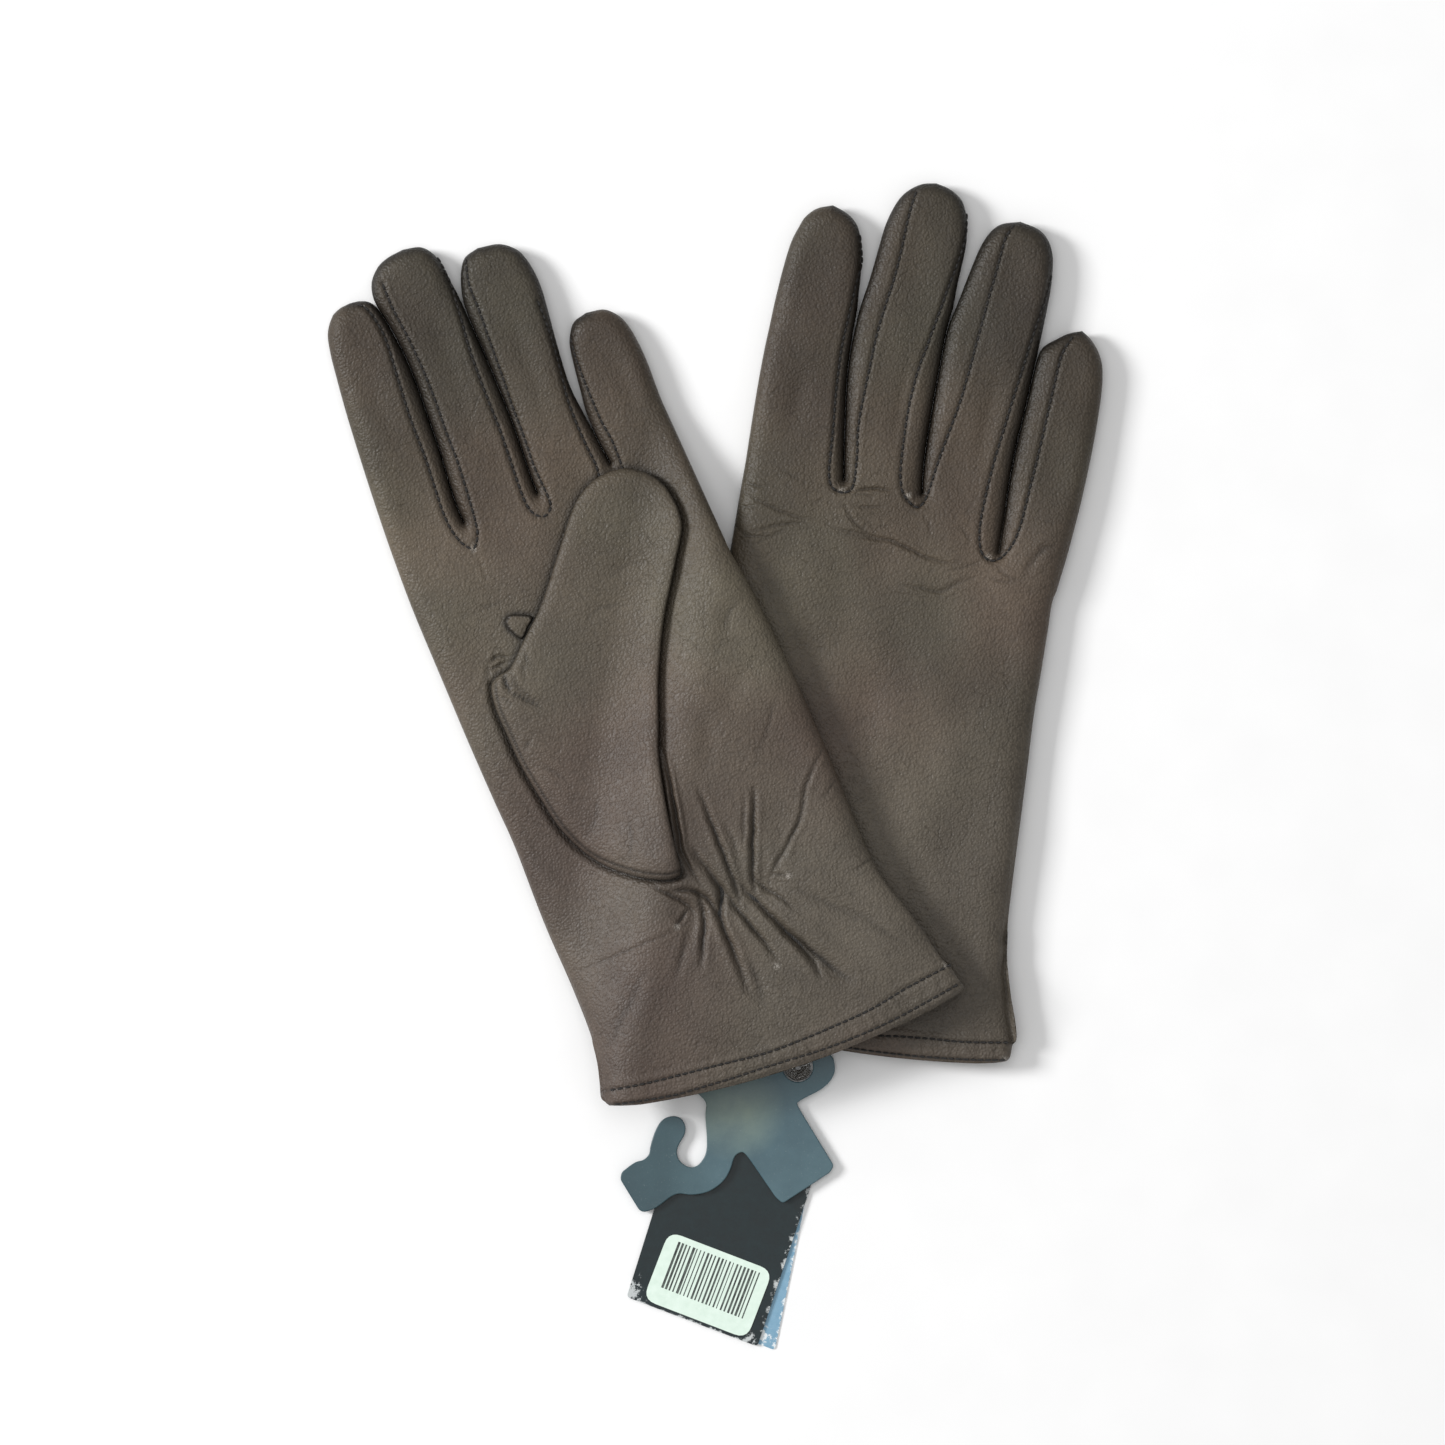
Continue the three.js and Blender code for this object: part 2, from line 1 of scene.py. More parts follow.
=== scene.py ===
import math
import bmesh
import bpy
import numpy as np
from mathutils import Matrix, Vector


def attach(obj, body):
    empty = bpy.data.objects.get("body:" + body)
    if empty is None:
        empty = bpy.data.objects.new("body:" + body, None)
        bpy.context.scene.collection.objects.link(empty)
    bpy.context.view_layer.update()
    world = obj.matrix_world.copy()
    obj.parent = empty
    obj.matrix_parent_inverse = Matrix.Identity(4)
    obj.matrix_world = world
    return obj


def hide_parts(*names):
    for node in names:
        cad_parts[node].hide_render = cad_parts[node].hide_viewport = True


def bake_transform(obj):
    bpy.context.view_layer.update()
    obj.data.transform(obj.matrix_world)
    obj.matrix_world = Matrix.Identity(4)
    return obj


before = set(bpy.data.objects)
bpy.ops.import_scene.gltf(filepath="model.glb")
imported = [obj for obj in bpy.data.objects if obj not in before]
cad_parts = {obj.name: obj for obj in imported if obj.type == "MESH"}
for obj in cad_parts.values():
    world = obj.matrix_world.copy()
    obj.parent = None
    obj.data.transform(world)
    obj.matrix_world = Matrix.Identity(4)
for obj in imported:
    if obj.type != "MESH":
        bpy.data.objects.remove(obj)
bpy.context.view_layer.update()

# Lengths are in millimetres until a mesh is made, then in metres.
MM = 0.001
# From the places traced in the photo to the frame's own origin.
SHIFT = np.array([0.6, 0.2])
# How thick the empty, lined glove is, and the gap under the upper glove's thumb.
HAND_THICK = 9.6
FINGER_THICK = 8.8
THUMB_THICK = 3.6
THUMB_CLEAR = 0.9
# How high the lower glove's palm stands off the floor, over the thumb folded under it.
HOLLOW = 4.5
# A stitch with its gap, how far a crease wanders, and the least depth of the two rows round a hem.
PITCH = 2.2
WANDER = 0.25
HEM_ROW_DEPTHS = (4.4, 1.1)
# Points across a finger, rows of a hand, and rows and points across of a thumb.
COLUMNS = 44
ROWS = 256
THUMB_ROWS, THUMB_COLUMNS = 190, 70


def smooth(t):
    u = np.clip(t, 0, 1)
    return u * u * (3 - 2 * u)


def curve(points, step=1.0):
    """A smooth line through the points, with a point about every step."""
    p = np.array(points, float)
    if len(p) < 3:
        n = max(2, int(np.linalg.norm(p[1] - p[0]) / step) + 1)
        return p[0] + (p[1] - p[0]) * np.linspace(0, 1, n)[:, None]
    q = np.vstack([2 * p[0] - p[1], p, 2 * p[-1] - p[-2]])
    out = []
    for i in range(1, len(q) - 2):
        n = max(1, int(np.linalg.norm(q[i + 1] - q[i]) / step))
        t = np.linspace(0, 1, n, endpoint=False)[:, None]
        a, b, c, d = q[i - 1], q[i], q[i + 1], q[i + 2]
        square = (2 * a - 5 * b + 4 * c - d) * t ** 2
        cube = (3 * b - a - 3 * c + d) * t ** 3
        out.append(0.5 * (2 * b + (c - a) * t + square + cube))
    return np.vstack(out + [p[-1:]])


def near(points, line):
    """Distance of each point from a line, and how far along the line its nearest point is."""
    a, ab = line[:-1], line[1:] - line[:-1]
    size = np.maximum((ab ** 2).sum(1), 1e-12)
    run = np.concatenate([[0], np.cumsum(np.sqrt(size))])
    far = np.empty(len(points))
    along = np.empty(len(points))
    for i in range(0, len(points), 4000):
        p = points[i:i + 4000, None, :]
        t = np.clip(((p - a) * ab).sum(2) / size, 0, 1)
        gap = ((p - a - ab * t[..., None]) ** 2).sum(2)
        k = gap.argmin(1)
        rows = np.arange(len(k))
        far[i:i + 4000] = np.sqrt(gap[rows, k])
        along[i:i + 4000] = run[k] + t[rows, k] * np.sqrt(size[k])
    return far, along, run[-1]


# ---- the two gloves' outlines: x to the thumb-free side, y from the cuff to the fingertips ----
# Between neighbouring fingers of the right glove: the part of the outline that both share.
RIGHT_GAPS = [
    [(-24.9, 170.5), (-25.5, 174), (-26.5, 180), (-27.5, 187), (-28.5, 194), (-29.3, 201), (-29.7, 208)],
    [(-1, 170.5), (-1.5, 174), (-2, 180), (-2.3, 187), (-2.4, 200), (-2.3, 215)],
    [(24.6, 170.5), (24.4, 174), (24.3, 182), (24.5, 190), (25, 198), (25.4, 205), (25.7, 212)],
]
RIGHT = {
    "name": "right", "at": (33.6, -85.2), "turn": -10, "palm_up": False, "cut": 170.5,
    "hand_left": [(-57, 2), (-56.6, 6), (-56, 14), (-54.8, 30), (-54.4, 50), (-54.3, 85), (-54.4, 110),
        (-54.8, 135), (-55, 155), (-55, 170.5)],
    "hand_right": [(54.6, 5.8), (55.5, 8), (54, 14), (52, 20), (50, 27), (48.5, 33), (47.5, 40), (46.8, 45),
        (46, 60), (45.3, 76), (44.6, 92), (43.8, 108), (43.7, 120), (43.5, 135), (43.3, 144), (44, 148),
        (44.6, 153), (45.4, 160), (46.3, 170.5)],
    "fingers": {
        "index": ([(-55, 170.5), (-55.3, 185), (-55.4, 195), (-55.3, 205), (-55, 212), (-54.7, 220),
            (-54, 230), (-53, 238), (-51.5, 243), (-50, 246.5), (-47, 249.5), (-42.5, 251.3)],
            RIGHT_GAPS[0] + [(-29.8, 215), (-29.8, 222), (-30.1, 226), (-30.5, 232), (-31.3, 238),
            (-32.5, 243), (-34.5, 247), (-38, 249.7), (-42.5, 251.3)]),
        "middle": (RIGHT_GAPS[0] + [(-29.6, 215), (-29.2, 222), (-28, 230), (-27.3, 236), (-26.7, 242),
            (-26, 248), (-24.7, 253), (-23, 257), (-20.5, 260), (-17, 262.3), (-13, 263.2)],
            RIGHT_GAPS[1] + [(-2, 222), (-1.4, 227), (-1.3, 234), (-1, 240), (-0.8, 246), (-1.5, 252),
            (-2.8, 256.5), (-5, 260), (-9, 262.3), (-13, 263.2)]),
        "ring": (RIGHT_GAPS[1] + [(-1.9, 222), (-0.8, 227), (0, 231), (1, 236), (2, 241), (3.5, 247),
            (5.5, 251.5), (8.5, 254.5), (14, 256.2)],
            RIGHT_GAPS[2] + [(26.1, 219), (26.4, 226), (26.6, 233), (26.6, 238), (26.2, 243), (25.5, 247.5),
            (23.5, 251.8), (20, 254.8), (14, 256.2)]),
        "little": (RIGHT_GAPS[2] + [(26.3, 218), (27.8, 220.8), (30.5, 223), (34, 225.5), (38, 227)],
            [(46.3, 170.5), (46.6, 175), (47, 183), (47.3, 192), (47.3, 202), (47, 210), (46, 217),
            (44, 221.5), (41, 225), (38, 227)]),
    },
    "slits": [[(24.9, 157), (24.7, 163), (24.6, 170.5)]],
    "bow": lambda x: 1.1 + 0.0016 * x * x,
    "seams": [
        [(-33, 244), (-31, 236), (-31.5, 230), (-32, 220), (-32.5, 210), (-32.3, 203), (-31.8, 195),
         (-31, 187), (-30.3, 178), (-29.8, 172), (-28.5, 168), (-26, 166.5), (-23, 167), (-21.8, 169.5),
         (-22, 175), (-22.5, 180), (-23.3, 185), (-23.5, 192), (-23.3, 200), (-23, 210), (-22.5, 218),
         (-21.5, 226), (-20.5, 233), (-20, 240), (-19.7, 247), (-19.3, 254), (-18.5, 259.5)],
        [(-2.4, 256), (-1.6, 250), (-2, 244), (-3, 238), (-4.2, 232), (-5.2, 226), (-6.5, 219), (-7.5, 213),
         (-8.5, 208), (-9.2, 201), (-9.5, 193), (-9.3, 186), (-9, 180), (-8.5, 175), (-7.5, 171),
         (-6, 168.5), (-3.5, 166.5), (-1.5, 166), (0, 168), (0.8, 171), (1.2, 174), (2, 180), (3.2, 187),
         (4.5, 194), (5.5, 200), (6.3, 207), (7, 215), (7.7, 222), (8.3, 230), (9.2, 238), (9.8, 245),
         (10.3, 250), (12, 254.6)],
        [(26, 242), (25.5, 235), (24.5, 229), (23.3, 221), (22.3, 213), (21.2, 205), (20, 195), (18.8, 185),
         (18.2, 178), (17.8, 170), (17.8, 164), (18.5, 159), (20, 155.5), (22.5, 154), (25, 154.8),
         (27, 157), (28.8, 161), (29.8, 166), (30.3, 172), (30.8, 180), (31.4, 188), (31.8, 196),
         (32.2, 204), (32.6, 212), (33.2, 219), (35.5, 225)],
    ],
    "hem": [
        [(-56, 7.5), (-40, 6.4), (-20, 6), (0, 6.5), (15, 7.5), (20, 8.2), (30, 9.2), (40, 10), (54, 12.2)],
        [(-56, 3.4), (-40, 2.2), (-20, 1.6), (6, 1.9), (15, 2.3), (25, 2.9), (35, 3.7), (45, 4.9),
         (54.5, 6.8)],
    ],
    # Each crease: its line, its depth and its width.
    "creases": [
        ([(-55, 161.7), (-46.3, 158.9), (-39.9, 157.3), (-34.1, 156.7), (-30.6, 157.8)], 0.4, 0.8),
        ([(-50.6, 149.6), (-44.9, 152.1), (-39.9, 154.2), (-32.7, 155.6)], 0.4, 0.8),
        ([(-49.1, 146), (-43.4, 149.6), (-39.1, 153.1)], 0.3, 0.7),
        ([(-54, 147.4), (-49, 148.8), (-43, 150)], 0.3, 0.7),
        ([(-25.2, 153.9), (-19.9, 154.4), (-14.1, 154.6), (-7, 154.6), (-1.3, 153), (4.8, 151.4),
          (11.6, 151), (15.9, 152.1)], 0.6, 0.9),
        ([(-25.6, 155.4), (-17, 155.3), (-11.3, 154.7)], 0.35, 0.7),
        ([(-21.3, 153.1), (-14.1, 154), (-8, 153.6)], 0.25, 0.6),
        ([(-24.5, 164.6), (-22, 161), (-18.4, 157.4), (-14.1, 155.6), (-10.6, 154.9)], 0.4, 0.8),
        ([(-22.7, 167.1), (-18.4, 168.5), (-14.1, 169.4), (-8.4, 169.4)], 0.6, 0.8),
        ([(-22, 166), (-19, 167), (-15, 166.4)], 0.3, 0.6),
        ([(-22, 163.5), (-18.4, 163), (-14.9, 163.7), (-10.6, 164.6)], 0.3, 0.7),
        ([(-3.4, 142.1), (3, 142.3), (9.4, 142.1), (13, 144.6), (17.3, 147.4), (20.5, 149.2)], 0.4, 1),
        ([(-5, 139), (-1, 139.2), (3, 139)], 0.2, 0.8),
        ([(23, 149.2), (27, 148.4), (31.6, 148.9)], 0.25, 1),
        ([(33.7, 151.4), (35.1, 155.3), (38, 160.3), (42.3, 162.4)], 0.4, 1.6),
        ([(-29.5, 164.6), (-31.3, 162.4), (-33.4, 161)], 0.3, 0.7),
        ([(-47, 171.7), (-40.6, 168.9), (-35.6, 166.7)], 0.25, 0.7),
        ([(11.6, 163.1), (14.4, 160.3), (16, 157)], 0.25, 0.7),
        ([(-54.5, 165), (-51, 163.8), (-47, 164.4)], 0.3, 0.7),
        ([(-54.8, 156), (-51.5, 157.4), (-48, 157)], 0.25, 0.7),
        ([(-54.8, 152), (-52.5, 149.5), (-49, 148.6)], 0.3, 0.7),
        ([(-1, 165.6), (2.5, 161.5), (4, 157)], 0.25, 0.8),
        ([(21, 154.4), (17, 151.5), (10, 148.5)], 0.25, 0.8),
        ([(24, 154), (28, 150.5), (34, 149.4)], 0.25, 0.8),
        ([(-11, 182), (-11.5, 195), (-12, 210)], 0.35, 2), ([(14, 180), (14.3, 195), (15, 210)], 0.35, 2),
        ([(-44, 176), (-43, 190), (-42, 205)], 0.25, 2.4), ([(-52, 60), (-40, 66), (-22, 68)], 0.35, 3),
        ([(44, 118), (30, 124), (18, 122)], 0.3, 3.5), ([(-2, 120), (-6, 100), (-4, 80)], 0.3, 5),
        ([(24, 96), (28, 76), (36, 56)], 0.35, 5), ([(-46, 120), (-30, 116), (-14, 124)], 0.3, 4),
    ],
    # (start, end, gain): where the rows across, and the columns along, lie closer together.
    "fine_rows": [(0, 15, 0.8), (136, 170.5, 1.7)], "fine_columns": [],
    "worn": [(-5, 169), (22, 155), (-25, 167), (53, 7)],
}
# Between neighbouring fingers of the left glove: the part of the outline that both share.
LEFT_GAPS = [
    [(-30.8, 182.5), (-31, 187), (-30.5, 195), (-29.5, 205), (-29, 215), (-28.5, 225), (-28.5, 235)],
    [(-7, 182.5), (-7, 187), (-6.5, 195), (-6, 205), (-5.9, 215), (-6, 225), (-6.3, 235)],
    [(16.8, 182.5), (16.1, 188)],
]
LEFT = {
    "name": "left", "at": (21.1, -83.5), "turn": 22, "palm_up": True, "cut": 182.5,
    "hand_left": [(-56.5, 2), (-57.2, 3.6), (-56, 8), (-54.5, 14), (-53.6, 20), (-53, 25), (-53, 40),
        (-53.6, 60), (-53.2, 85), (-53.8, 100), (-54.4, 120), (-54.7, 140), (-55, 160), (-54.9, 170),
        (-54.5, 182.5)],
    "hand_right": [(56.8, -4.4), (57.4, -2), (57, 0), (55.6, 4), (54.8, 8), (53.2, 12), (51.5, 20),
        (50.3, 25), (49, 30), (47.3, 35), (46, 40), (45.2, 45), (44.8, 55), (44.8, 75), (44.4, 95),
        (43.6, 112), (42.8, 122), (42, 132), (41, 140), (40.2, 146), (39.8, 155), (39.2, 170),
        (38.7, 182.5)],
    "fingers": {
        "index": ([(-54.5, 182.5), (-54, 192), (-53, 207), (-51.5, 225), (-50, 238), (-49, 245),
            (-47.5, 250.6), (-44.5, 254.6), (-41.5, 256.1), (-38, 256.5)],
            LEFT_GAPS[0] + [(-29.5, 245), (-30.6, 251.5), (-32.3, 254.6), (-35, 256), (-38, 256.5)]),
        "middle": (LEFT_GAPS[0] + [(-29.4, 245), (-30.6, 251.5), (-30.9, 255.5), (-29.5, 260), (-26, 263.5),
            (-22, 265), (-17, 265.5)],
            LEFT_GAPS[1] + [(-6.6, 245), (-7.2, 251), (-7.8, 257), (-9.2, 261.3), (-12, 264.3),
            (-17, 265.5)]),
        "ring": (LEFT_GAPS[1] + [(-6.3, 242), (-5.8, 246), (-4.6, 250), (-3, 253.5), (-0.5, 256.4),
            (4, 257.5)],
            LEFT_GAPS[2] + [(15.6, 194), (15, 200), (14.4, 206), (14.4, 211), (15, 218), (15.8, 225),
            (16.8, 233), (17.4, 239), (17.3, 244), (16.5, 248.7), (14.8, 252.7), (10.5, 256.2),
            (4, 257.5)]),
        "little": (LEFT_GAPS[2] + [(15.7, 194), (15.7, 200), (16.6, 207), (17.4, 213), (18.5, 219.5),
            (20, 223), (22.5, 226), (27, 227.2)],
            [(38.7, 182.5), (38.2, 195), (38.5, 205), (38.3, 212), (37.5, 218), (36, 222.3), (32.5, 226),
            (27, 227.2)]),
    },
    "slits": [],
    "bow": lambda x: -7.2 + 0.0018 * (x - 18) ** 2,
    "seams": [
        [(-36, 255.4), (-33.5, 252), (-32, 243), (-33, 230), (-34, 217), (-34.3, 205), (-35, 195),
         (-35.5, 187), (-35, 181), (-33.5, 176.5), (-31, 174), (-28.5, 177), (-27.5, 181), (-26.5, 190),
         (-25.7, 200), (-25.5, 210), (-25, 220), (-25, 230), (-25.5, 240), (-26.5, 250), (-26.6, 259)],
        [(-10.5, 263.5), (-8.3, 259), (-7.6, 250), (-8.2, 244), (-8.8, 238), (-9.7, 230), (-10.2, 218),
         (-10.3, 205), (-10.8, 195), (-11.3, 187), (-11.3, 180), (-10, 176.5), (-7.5, 175), (-5, 176.5),
         (-4.4, 180), (-4.8, 190), (-4.3, 200), (-4.1, 210), (-3.6, 217), (-3.1, 230), (-2.6, 240),
         (-2.5, 248), (-0.8, 255)],
        [(14.8, 236), (14.6, 228), (14, 220), (13, 212), (12, 205), (11.8, 198), (12, 190), (12.5, 184),
         (12.3, 178), (14.5, 174), (17.5, 174.5), (19.4, 178), (19.8, 188), (19, 195), (18.8, 205),
         (19, 215), (19.8, 222)],
    ],
    "hem": [
        [(-56, 8.2), (-44, 5.8), (-30, 3.8), (-20, 2.5), (-10, 1), (0, 0.3), (20, 0.5), (30, 1.2),
         (40, 2.8), (55.5, 4.4)],
        [(-56.4, 3.6), (-50, 1.2), (-40, -0.5), (-30, -1.5), (-20, -2.5), (-10, -3.2), (0, -4), (10, -4.8),
         (20, -5), (30, -4.7), (40, -3.8), (56, -1.8)],
    ],
    # Each crease: its line, its depth and its width.
    "creases": [
        ([(-52, 44), (-35, 44.5), (-16, 45), (-12, 47)], 0.3, 0.8),
        ([(-53, 20.5), (-48, 21), (-43, 26), (-38, 30), (-33, 35), (-28, 38)], 0.35, 2.2),
        ([(25.3, 85.3), (28.7, 88.2), (32, 92.3), (37.8, 99.8)], 0.45, 0.8),
        ([(-0.7, 97.3), (-2.4, 87.3), (-5.1, 74), (-6.9, 66.5), (-6.6, 61), (-5.7, 57),
          (-5.2, 54)], 1.3, 0.8),
        ([(-3.6, 67), (-3, 63), (-0.9, 54.8), (-0.5, 50.7), (-2.2, 46.5), (-3.8, 42.3), (-3.8, 29),
          (-4.3, 18)], 1.5, 1.5), ([(4.8, 84), (4.3, 57.3), (4.1, 49.8), (3.3, 45.7), (2.4, 42)], 1.1, 1.2),
        ([(0.2, 53), (0.8, 49), (2, 44), (4.1, 37.3), (6.2, 30.7), (7.8, 24)], 1.1, 1.2),
        ([(4.8, 53), (5.3, 50.7), (7.8, 44.8), (9.9, 39.8), (13.7, 30.7), (17, 22.3),
          (17.8, 14)], 1.6, 1.5), ([(12, 35), (15.3, 29), (18.7, 22.3), (22, 16.5), (26.2, 9.8)], 1.2, 2.3),
        ([(21, 77), (15.3, 64), (13.7, 60.7), (10.8, 53.2), (9.5, 49.8), (8.7, 45.7),
          (8.4, 43.4)], 1.2, 1.2),
        ([(9.8, 52.5), (10.3, 50.3), (12, 46.5), (14.1, 44), (18.7, 36.5)], 0.8, 0.9),
        ([(13.5, 44.4), (13.7, 46.5), (14.5, 49), (17, 51.1), (23.7, 56.5), (30.3, 62.8), (35.3, 70.7),
          (46, 81)], 0.75, 0.9),
        ([(-20, 60.4), (-18, 58.6), (-14.7, 54.8), (-11.3, 50.7), (-10.3, 46.5)], 0.9, 1),
        ([(-15, 56.8), (-8.8, 54), (-5.5, 50.7), (-4.3, 46.5), (-3.8, 43)], 1.3, 1.1),
        ([(-6.8, 54), (-7.2, 52.3), (-7.6, 47.3), (-9.3, 42.3), (-12.2, 36.5), (-15, 30.5)], 1.1, 1.3),
        ([(-17, 45.6), (-13.4, 48.2), (-11.3, 49.4)], 0.8, 0.7),
        ([(15, 49.8), (17.5, 48.8), (20, 47.3)], 0.5, 0.7), ([(38, 41.2), (42, 42), (47, 42.8)], 0.4, 0.8),
        ([(38, 64.5), (41, 66.5), (44, 69)], 0.3, 0.8), ([(10.6, 60), (13.5, 67), (17, 75)], 0.35, 0.9),
        ([(8, 70), (8.6, 63), (7.6, 56)], 0.3, 1.2), ([(-14, 44), (-18, 38), (-24, 30)], 0.5, 1.8),
        ([(19, 44), (27, 36), (36, 26)], 0.35, 2.2), ([(30, 34), (36, 28), (41, 20), (47, 13)], 0.3, 1.6),
        ([(-1, 30), (-0.6, 22), (-1.4, 12)], 0.35, 2.2),
        ([(-39.9, 140.2), (-36.1, 140.8), (-33, 139.4)], 0.8, 0.8),
        ([(-40, 137.9), (-36.7, 138.4), (-34, 138.4)], 0.8, 0.8),
        ([(-38, 139.9), (-37.2, 141.8), (-36.1, 143.4)], 0.4, 0.7),
        ([(-41.9, 135.2), (-41, 137.6), (-39.8, 140.2)], 0.5, 0.8),
        ([(-45.5, 132.5), (-43.8, 135), (-42.2, 137)], 0.3, 0.8),
        ([(-33.8, 141), (-35, 143), (-36.8, 144.2)], 0.3, 0.7),
        ([(-50, 167), (-47.5, 164), (-45, 163)], 0.2, 1),
        ([(-45, 157.6), (-38, 155.6), (-26, 156.4)], 0.25, 1),
        ([(-42, 154), (-36, 152.6), (-32, 153.4)], 0.2, 0.9),
        ([(-31, 172), (-30.6, 168), (-31, 164)], 0.2, 0.9), ([(38, 170), (33, 166), (31, 172)], 0.2, 1.2),
        ([(40, 130), (34, 128), (28, 121)], 0.3, 2), ([(42, 112), (30, 108), (16, 96)], 0.3, 3),
        ([(-50, 100), (-47, 84), (-44, 70)], 0.4, 2.4), ([(12, 112), (14, 98), (8, 84)], 0.35, 2.6),
        ([(-41, 206), (-41, 222), (-40, 238)], 0.25, 2.4),
        ([(-18, 200), (-17, 222), (-17, 244)], 0.25, 2.4), ([(4, 196), (5, 218), (6, 240)], 0.25, 2.2),
        ([(30, 190), (30, 204), (29, 216)], 0.25, 2.2),
    ],
    # (start, end, gain): where the rows across, and the columns along, lie closer together.
    "fine_rows": [(0, 15, 0.8), (15, 82, 1.2), (128, 146, 1.2)], "fine_columns": [(0.34, 0.8, 1.0)],
    "worn": [(55, 6), (53.5, 5), (-31, 174), (-16.8, 45.6), (20, 47.4), (6.4, 23.6)],
}
THUMB_FREE = [(-10, 59.6), (-9, 62), (-8.5, 66), (-7.5, 73), (-6, 81), (-4, 90), (-2, 97), (0.5, 103),
    (5, 114.5), (10, 125), (15, 134), (20, 141.5), (24, 147.5), (28, 153.5), (29.8, 157), (30.5, 161),
    (30.3, 165), (29.3, 170), (27, 174), (24, 177), (20, 179.3), (16, 180)]
THUMB_ROOT = [(-10, 59.6), (-12, 59.4), (-15, 60), (-20, 62.5), (-25, 66), (-30, 70.5), (-34, 76),
    (-37, 82), (-39, 88), (-40.5, 96), (-41.8, 104), (-42.5, 110), (-42.8, 118), (-43, 125), (-42.6, 130),
    (-41.4, 134), (-38.5, 135.6), (-35, 136), (-32, 138.2), (-28, 142), (-24, 145.5), (-20, 149),
    (-15, 154.5), (-10, 160.5), (-5, 166.5), (0, 172.5), (3.5, 175.8), (8, 178.5), (12, 179.8), (16, 180)]
THUMB_SEWN = THUMB_ROOT[:16]
THUMB_CREASES = [
    ([(-36.9, 136), (-37.1, 132.1), (-36.2, 129.6)], 1.2, 0.9),
    ([(-39, 131.4), (-35.6, 128.2), (-32.2, 124.3), (-28.9, 121)], 0.7, 0.8),
    ([(-36.4, 133.4), (-33.9, 129.6), (-31.6, 126)], 0.5, 0.8),
    ([(-34.6, 127.4), (-32, 126), (-29, 122.6)], 0.4, 0.7),
    ([(-29.4, 140), (-28.5, 138.2), (-29.4, 134)], 0.5, 0.8),
    ([(-31, 138), (-30.8, 134.6), (-31.4, 131)], 0.35, 0.8),
    ([(-41.6, 130), (-39.4, 128.6), (-37.4, 125.6)], 0.35, 0.8),
    ([(-34.8, 136), (-34.6, 133), (-33.6, 131)], 0.5, 0.7),
    ([(-40, 108), (-34, 103), (-30, 96)], 0.25, 1.6), ([(-24, 68), (-20, 74), (-18, 82)], 0.3, 1.6),
    ([(-40, 112), (-37.6, 113.6), (-36, 115)], 0.4, 0.8), ([(-34, 80), (-28, 84), (-24, 91)], 0.25, 1.6),
    ([(2, 150), (10, 152), (18, 149)], 0.22, 2), ([(-10, 140), (-2, 143), (8, 140)], 0.2, 2.2),
]
QUIRK = [(-30.3, 147.2), (-30.6, 149.8), (-28.6, 151.3), (-26, 150.5), (-22.2, 148.2), (-24.6, 145.8),
    (-27.8, 143.2)]


# ---- placing a glove ----
def turned(x, y, degrees):
    a = math.radians(degrees)
    return x * math.cos(a) - y * math.sin(a), x * math.sin(a) + y * math.cos(a)


def drape(wx, wy):
    """How far the lower glove lifts the upper one at a place in the world."""
    x = turned(wx - RIGHT["at"][0], wy - RIGHT["at"][1], -RIGHT["turn"])[0]
    return 10.9 * smooth((x + 54.4 + 32) / 32)


def placed(glove, x, y, z):
    """World places, in millimetres, of points given in the glove's own frame."""
    wx, wy = turned(x, y, glove["turn"])
    wx, wy = wx + glove["at"][0], wy + glove["at"][1]
    lift = drape(wx, wy) if glove["palm_up"] else 0
    return np.stack([wx + SHIFT[0], wy + SHIFT[1], z + lift], -1)


def side_at(points, y):
    """Where a side line crosses the heights y."""
    line = curve(points, 0.5)
    order = np.argsort(line[:, 1], kind="stable")
    return np.interp(y, line[order, 1], line[order, 0])


# ---- the shape of the leather ----
def crinkled(line, seed):
    """A crease never runs true: it wanders a little to either side."""
    ahead = np.gradient(line, axis=0)
    ahead /= np.maximum(np.linalg.norm(ahead, axis=1), 1e-9)[:, None]
    s = np.arange(len(line)) * 0.7
    sway = 0.34 * np.sin(s * 0.83 + seed * 1.7) + 0.22 * np.sin(s * 1.9 + seed * 2.9)
    sway += 0.1 * np.sin(s * 3.7 + seed)
    return line + np.stack([-ahead[:, 1], ahead[:, 0]], 1) * sway[:, None] * WANDER


def edges_of(glove):
    lines = [glove["hand_left"], glove["hand_right"]] + glove["slits"]
    for left, right in glove["fingers"].values():
        lines += [left, right]
    return [curve(line, 1.2) for line in lines]


def prepare(glove):
    """Turns the glove's tables of points into smooth lines."""
    glove["edge_lines"] = edges_of(glove)
    first = 2 + len(glove["slits"])
    glove["fork_lines"] = glove["edge_lines"][2:first] + glove["edge_lines"][first + 1:-1]
    glove["seam_lines"] = [curve(line, 0.8) for line in glove["seams"]]
    glove["hem_lines"] = [curve(line, 1.5) for line in glove["hem"]]
    for line, least in zip(glove["hem_lines"], HEM_ROW_DEPTHS):
        line[:, 1] = np.maximum(line[:, 1], glove["bow"](line[:, 0]) + least)
    glove["crease_lines"] = [(crinkled(curve(line, 0.7), i), depth, wide)
                             for i, (line, depth, wide) in enumerate(glove["creases"])]


def edge_distance(glove, p):
    far = np.full(len(p), 1e9)
    for line in glove["edge_lines"]:
        far = np.minimum(far, near(p, line)[0])
    return far


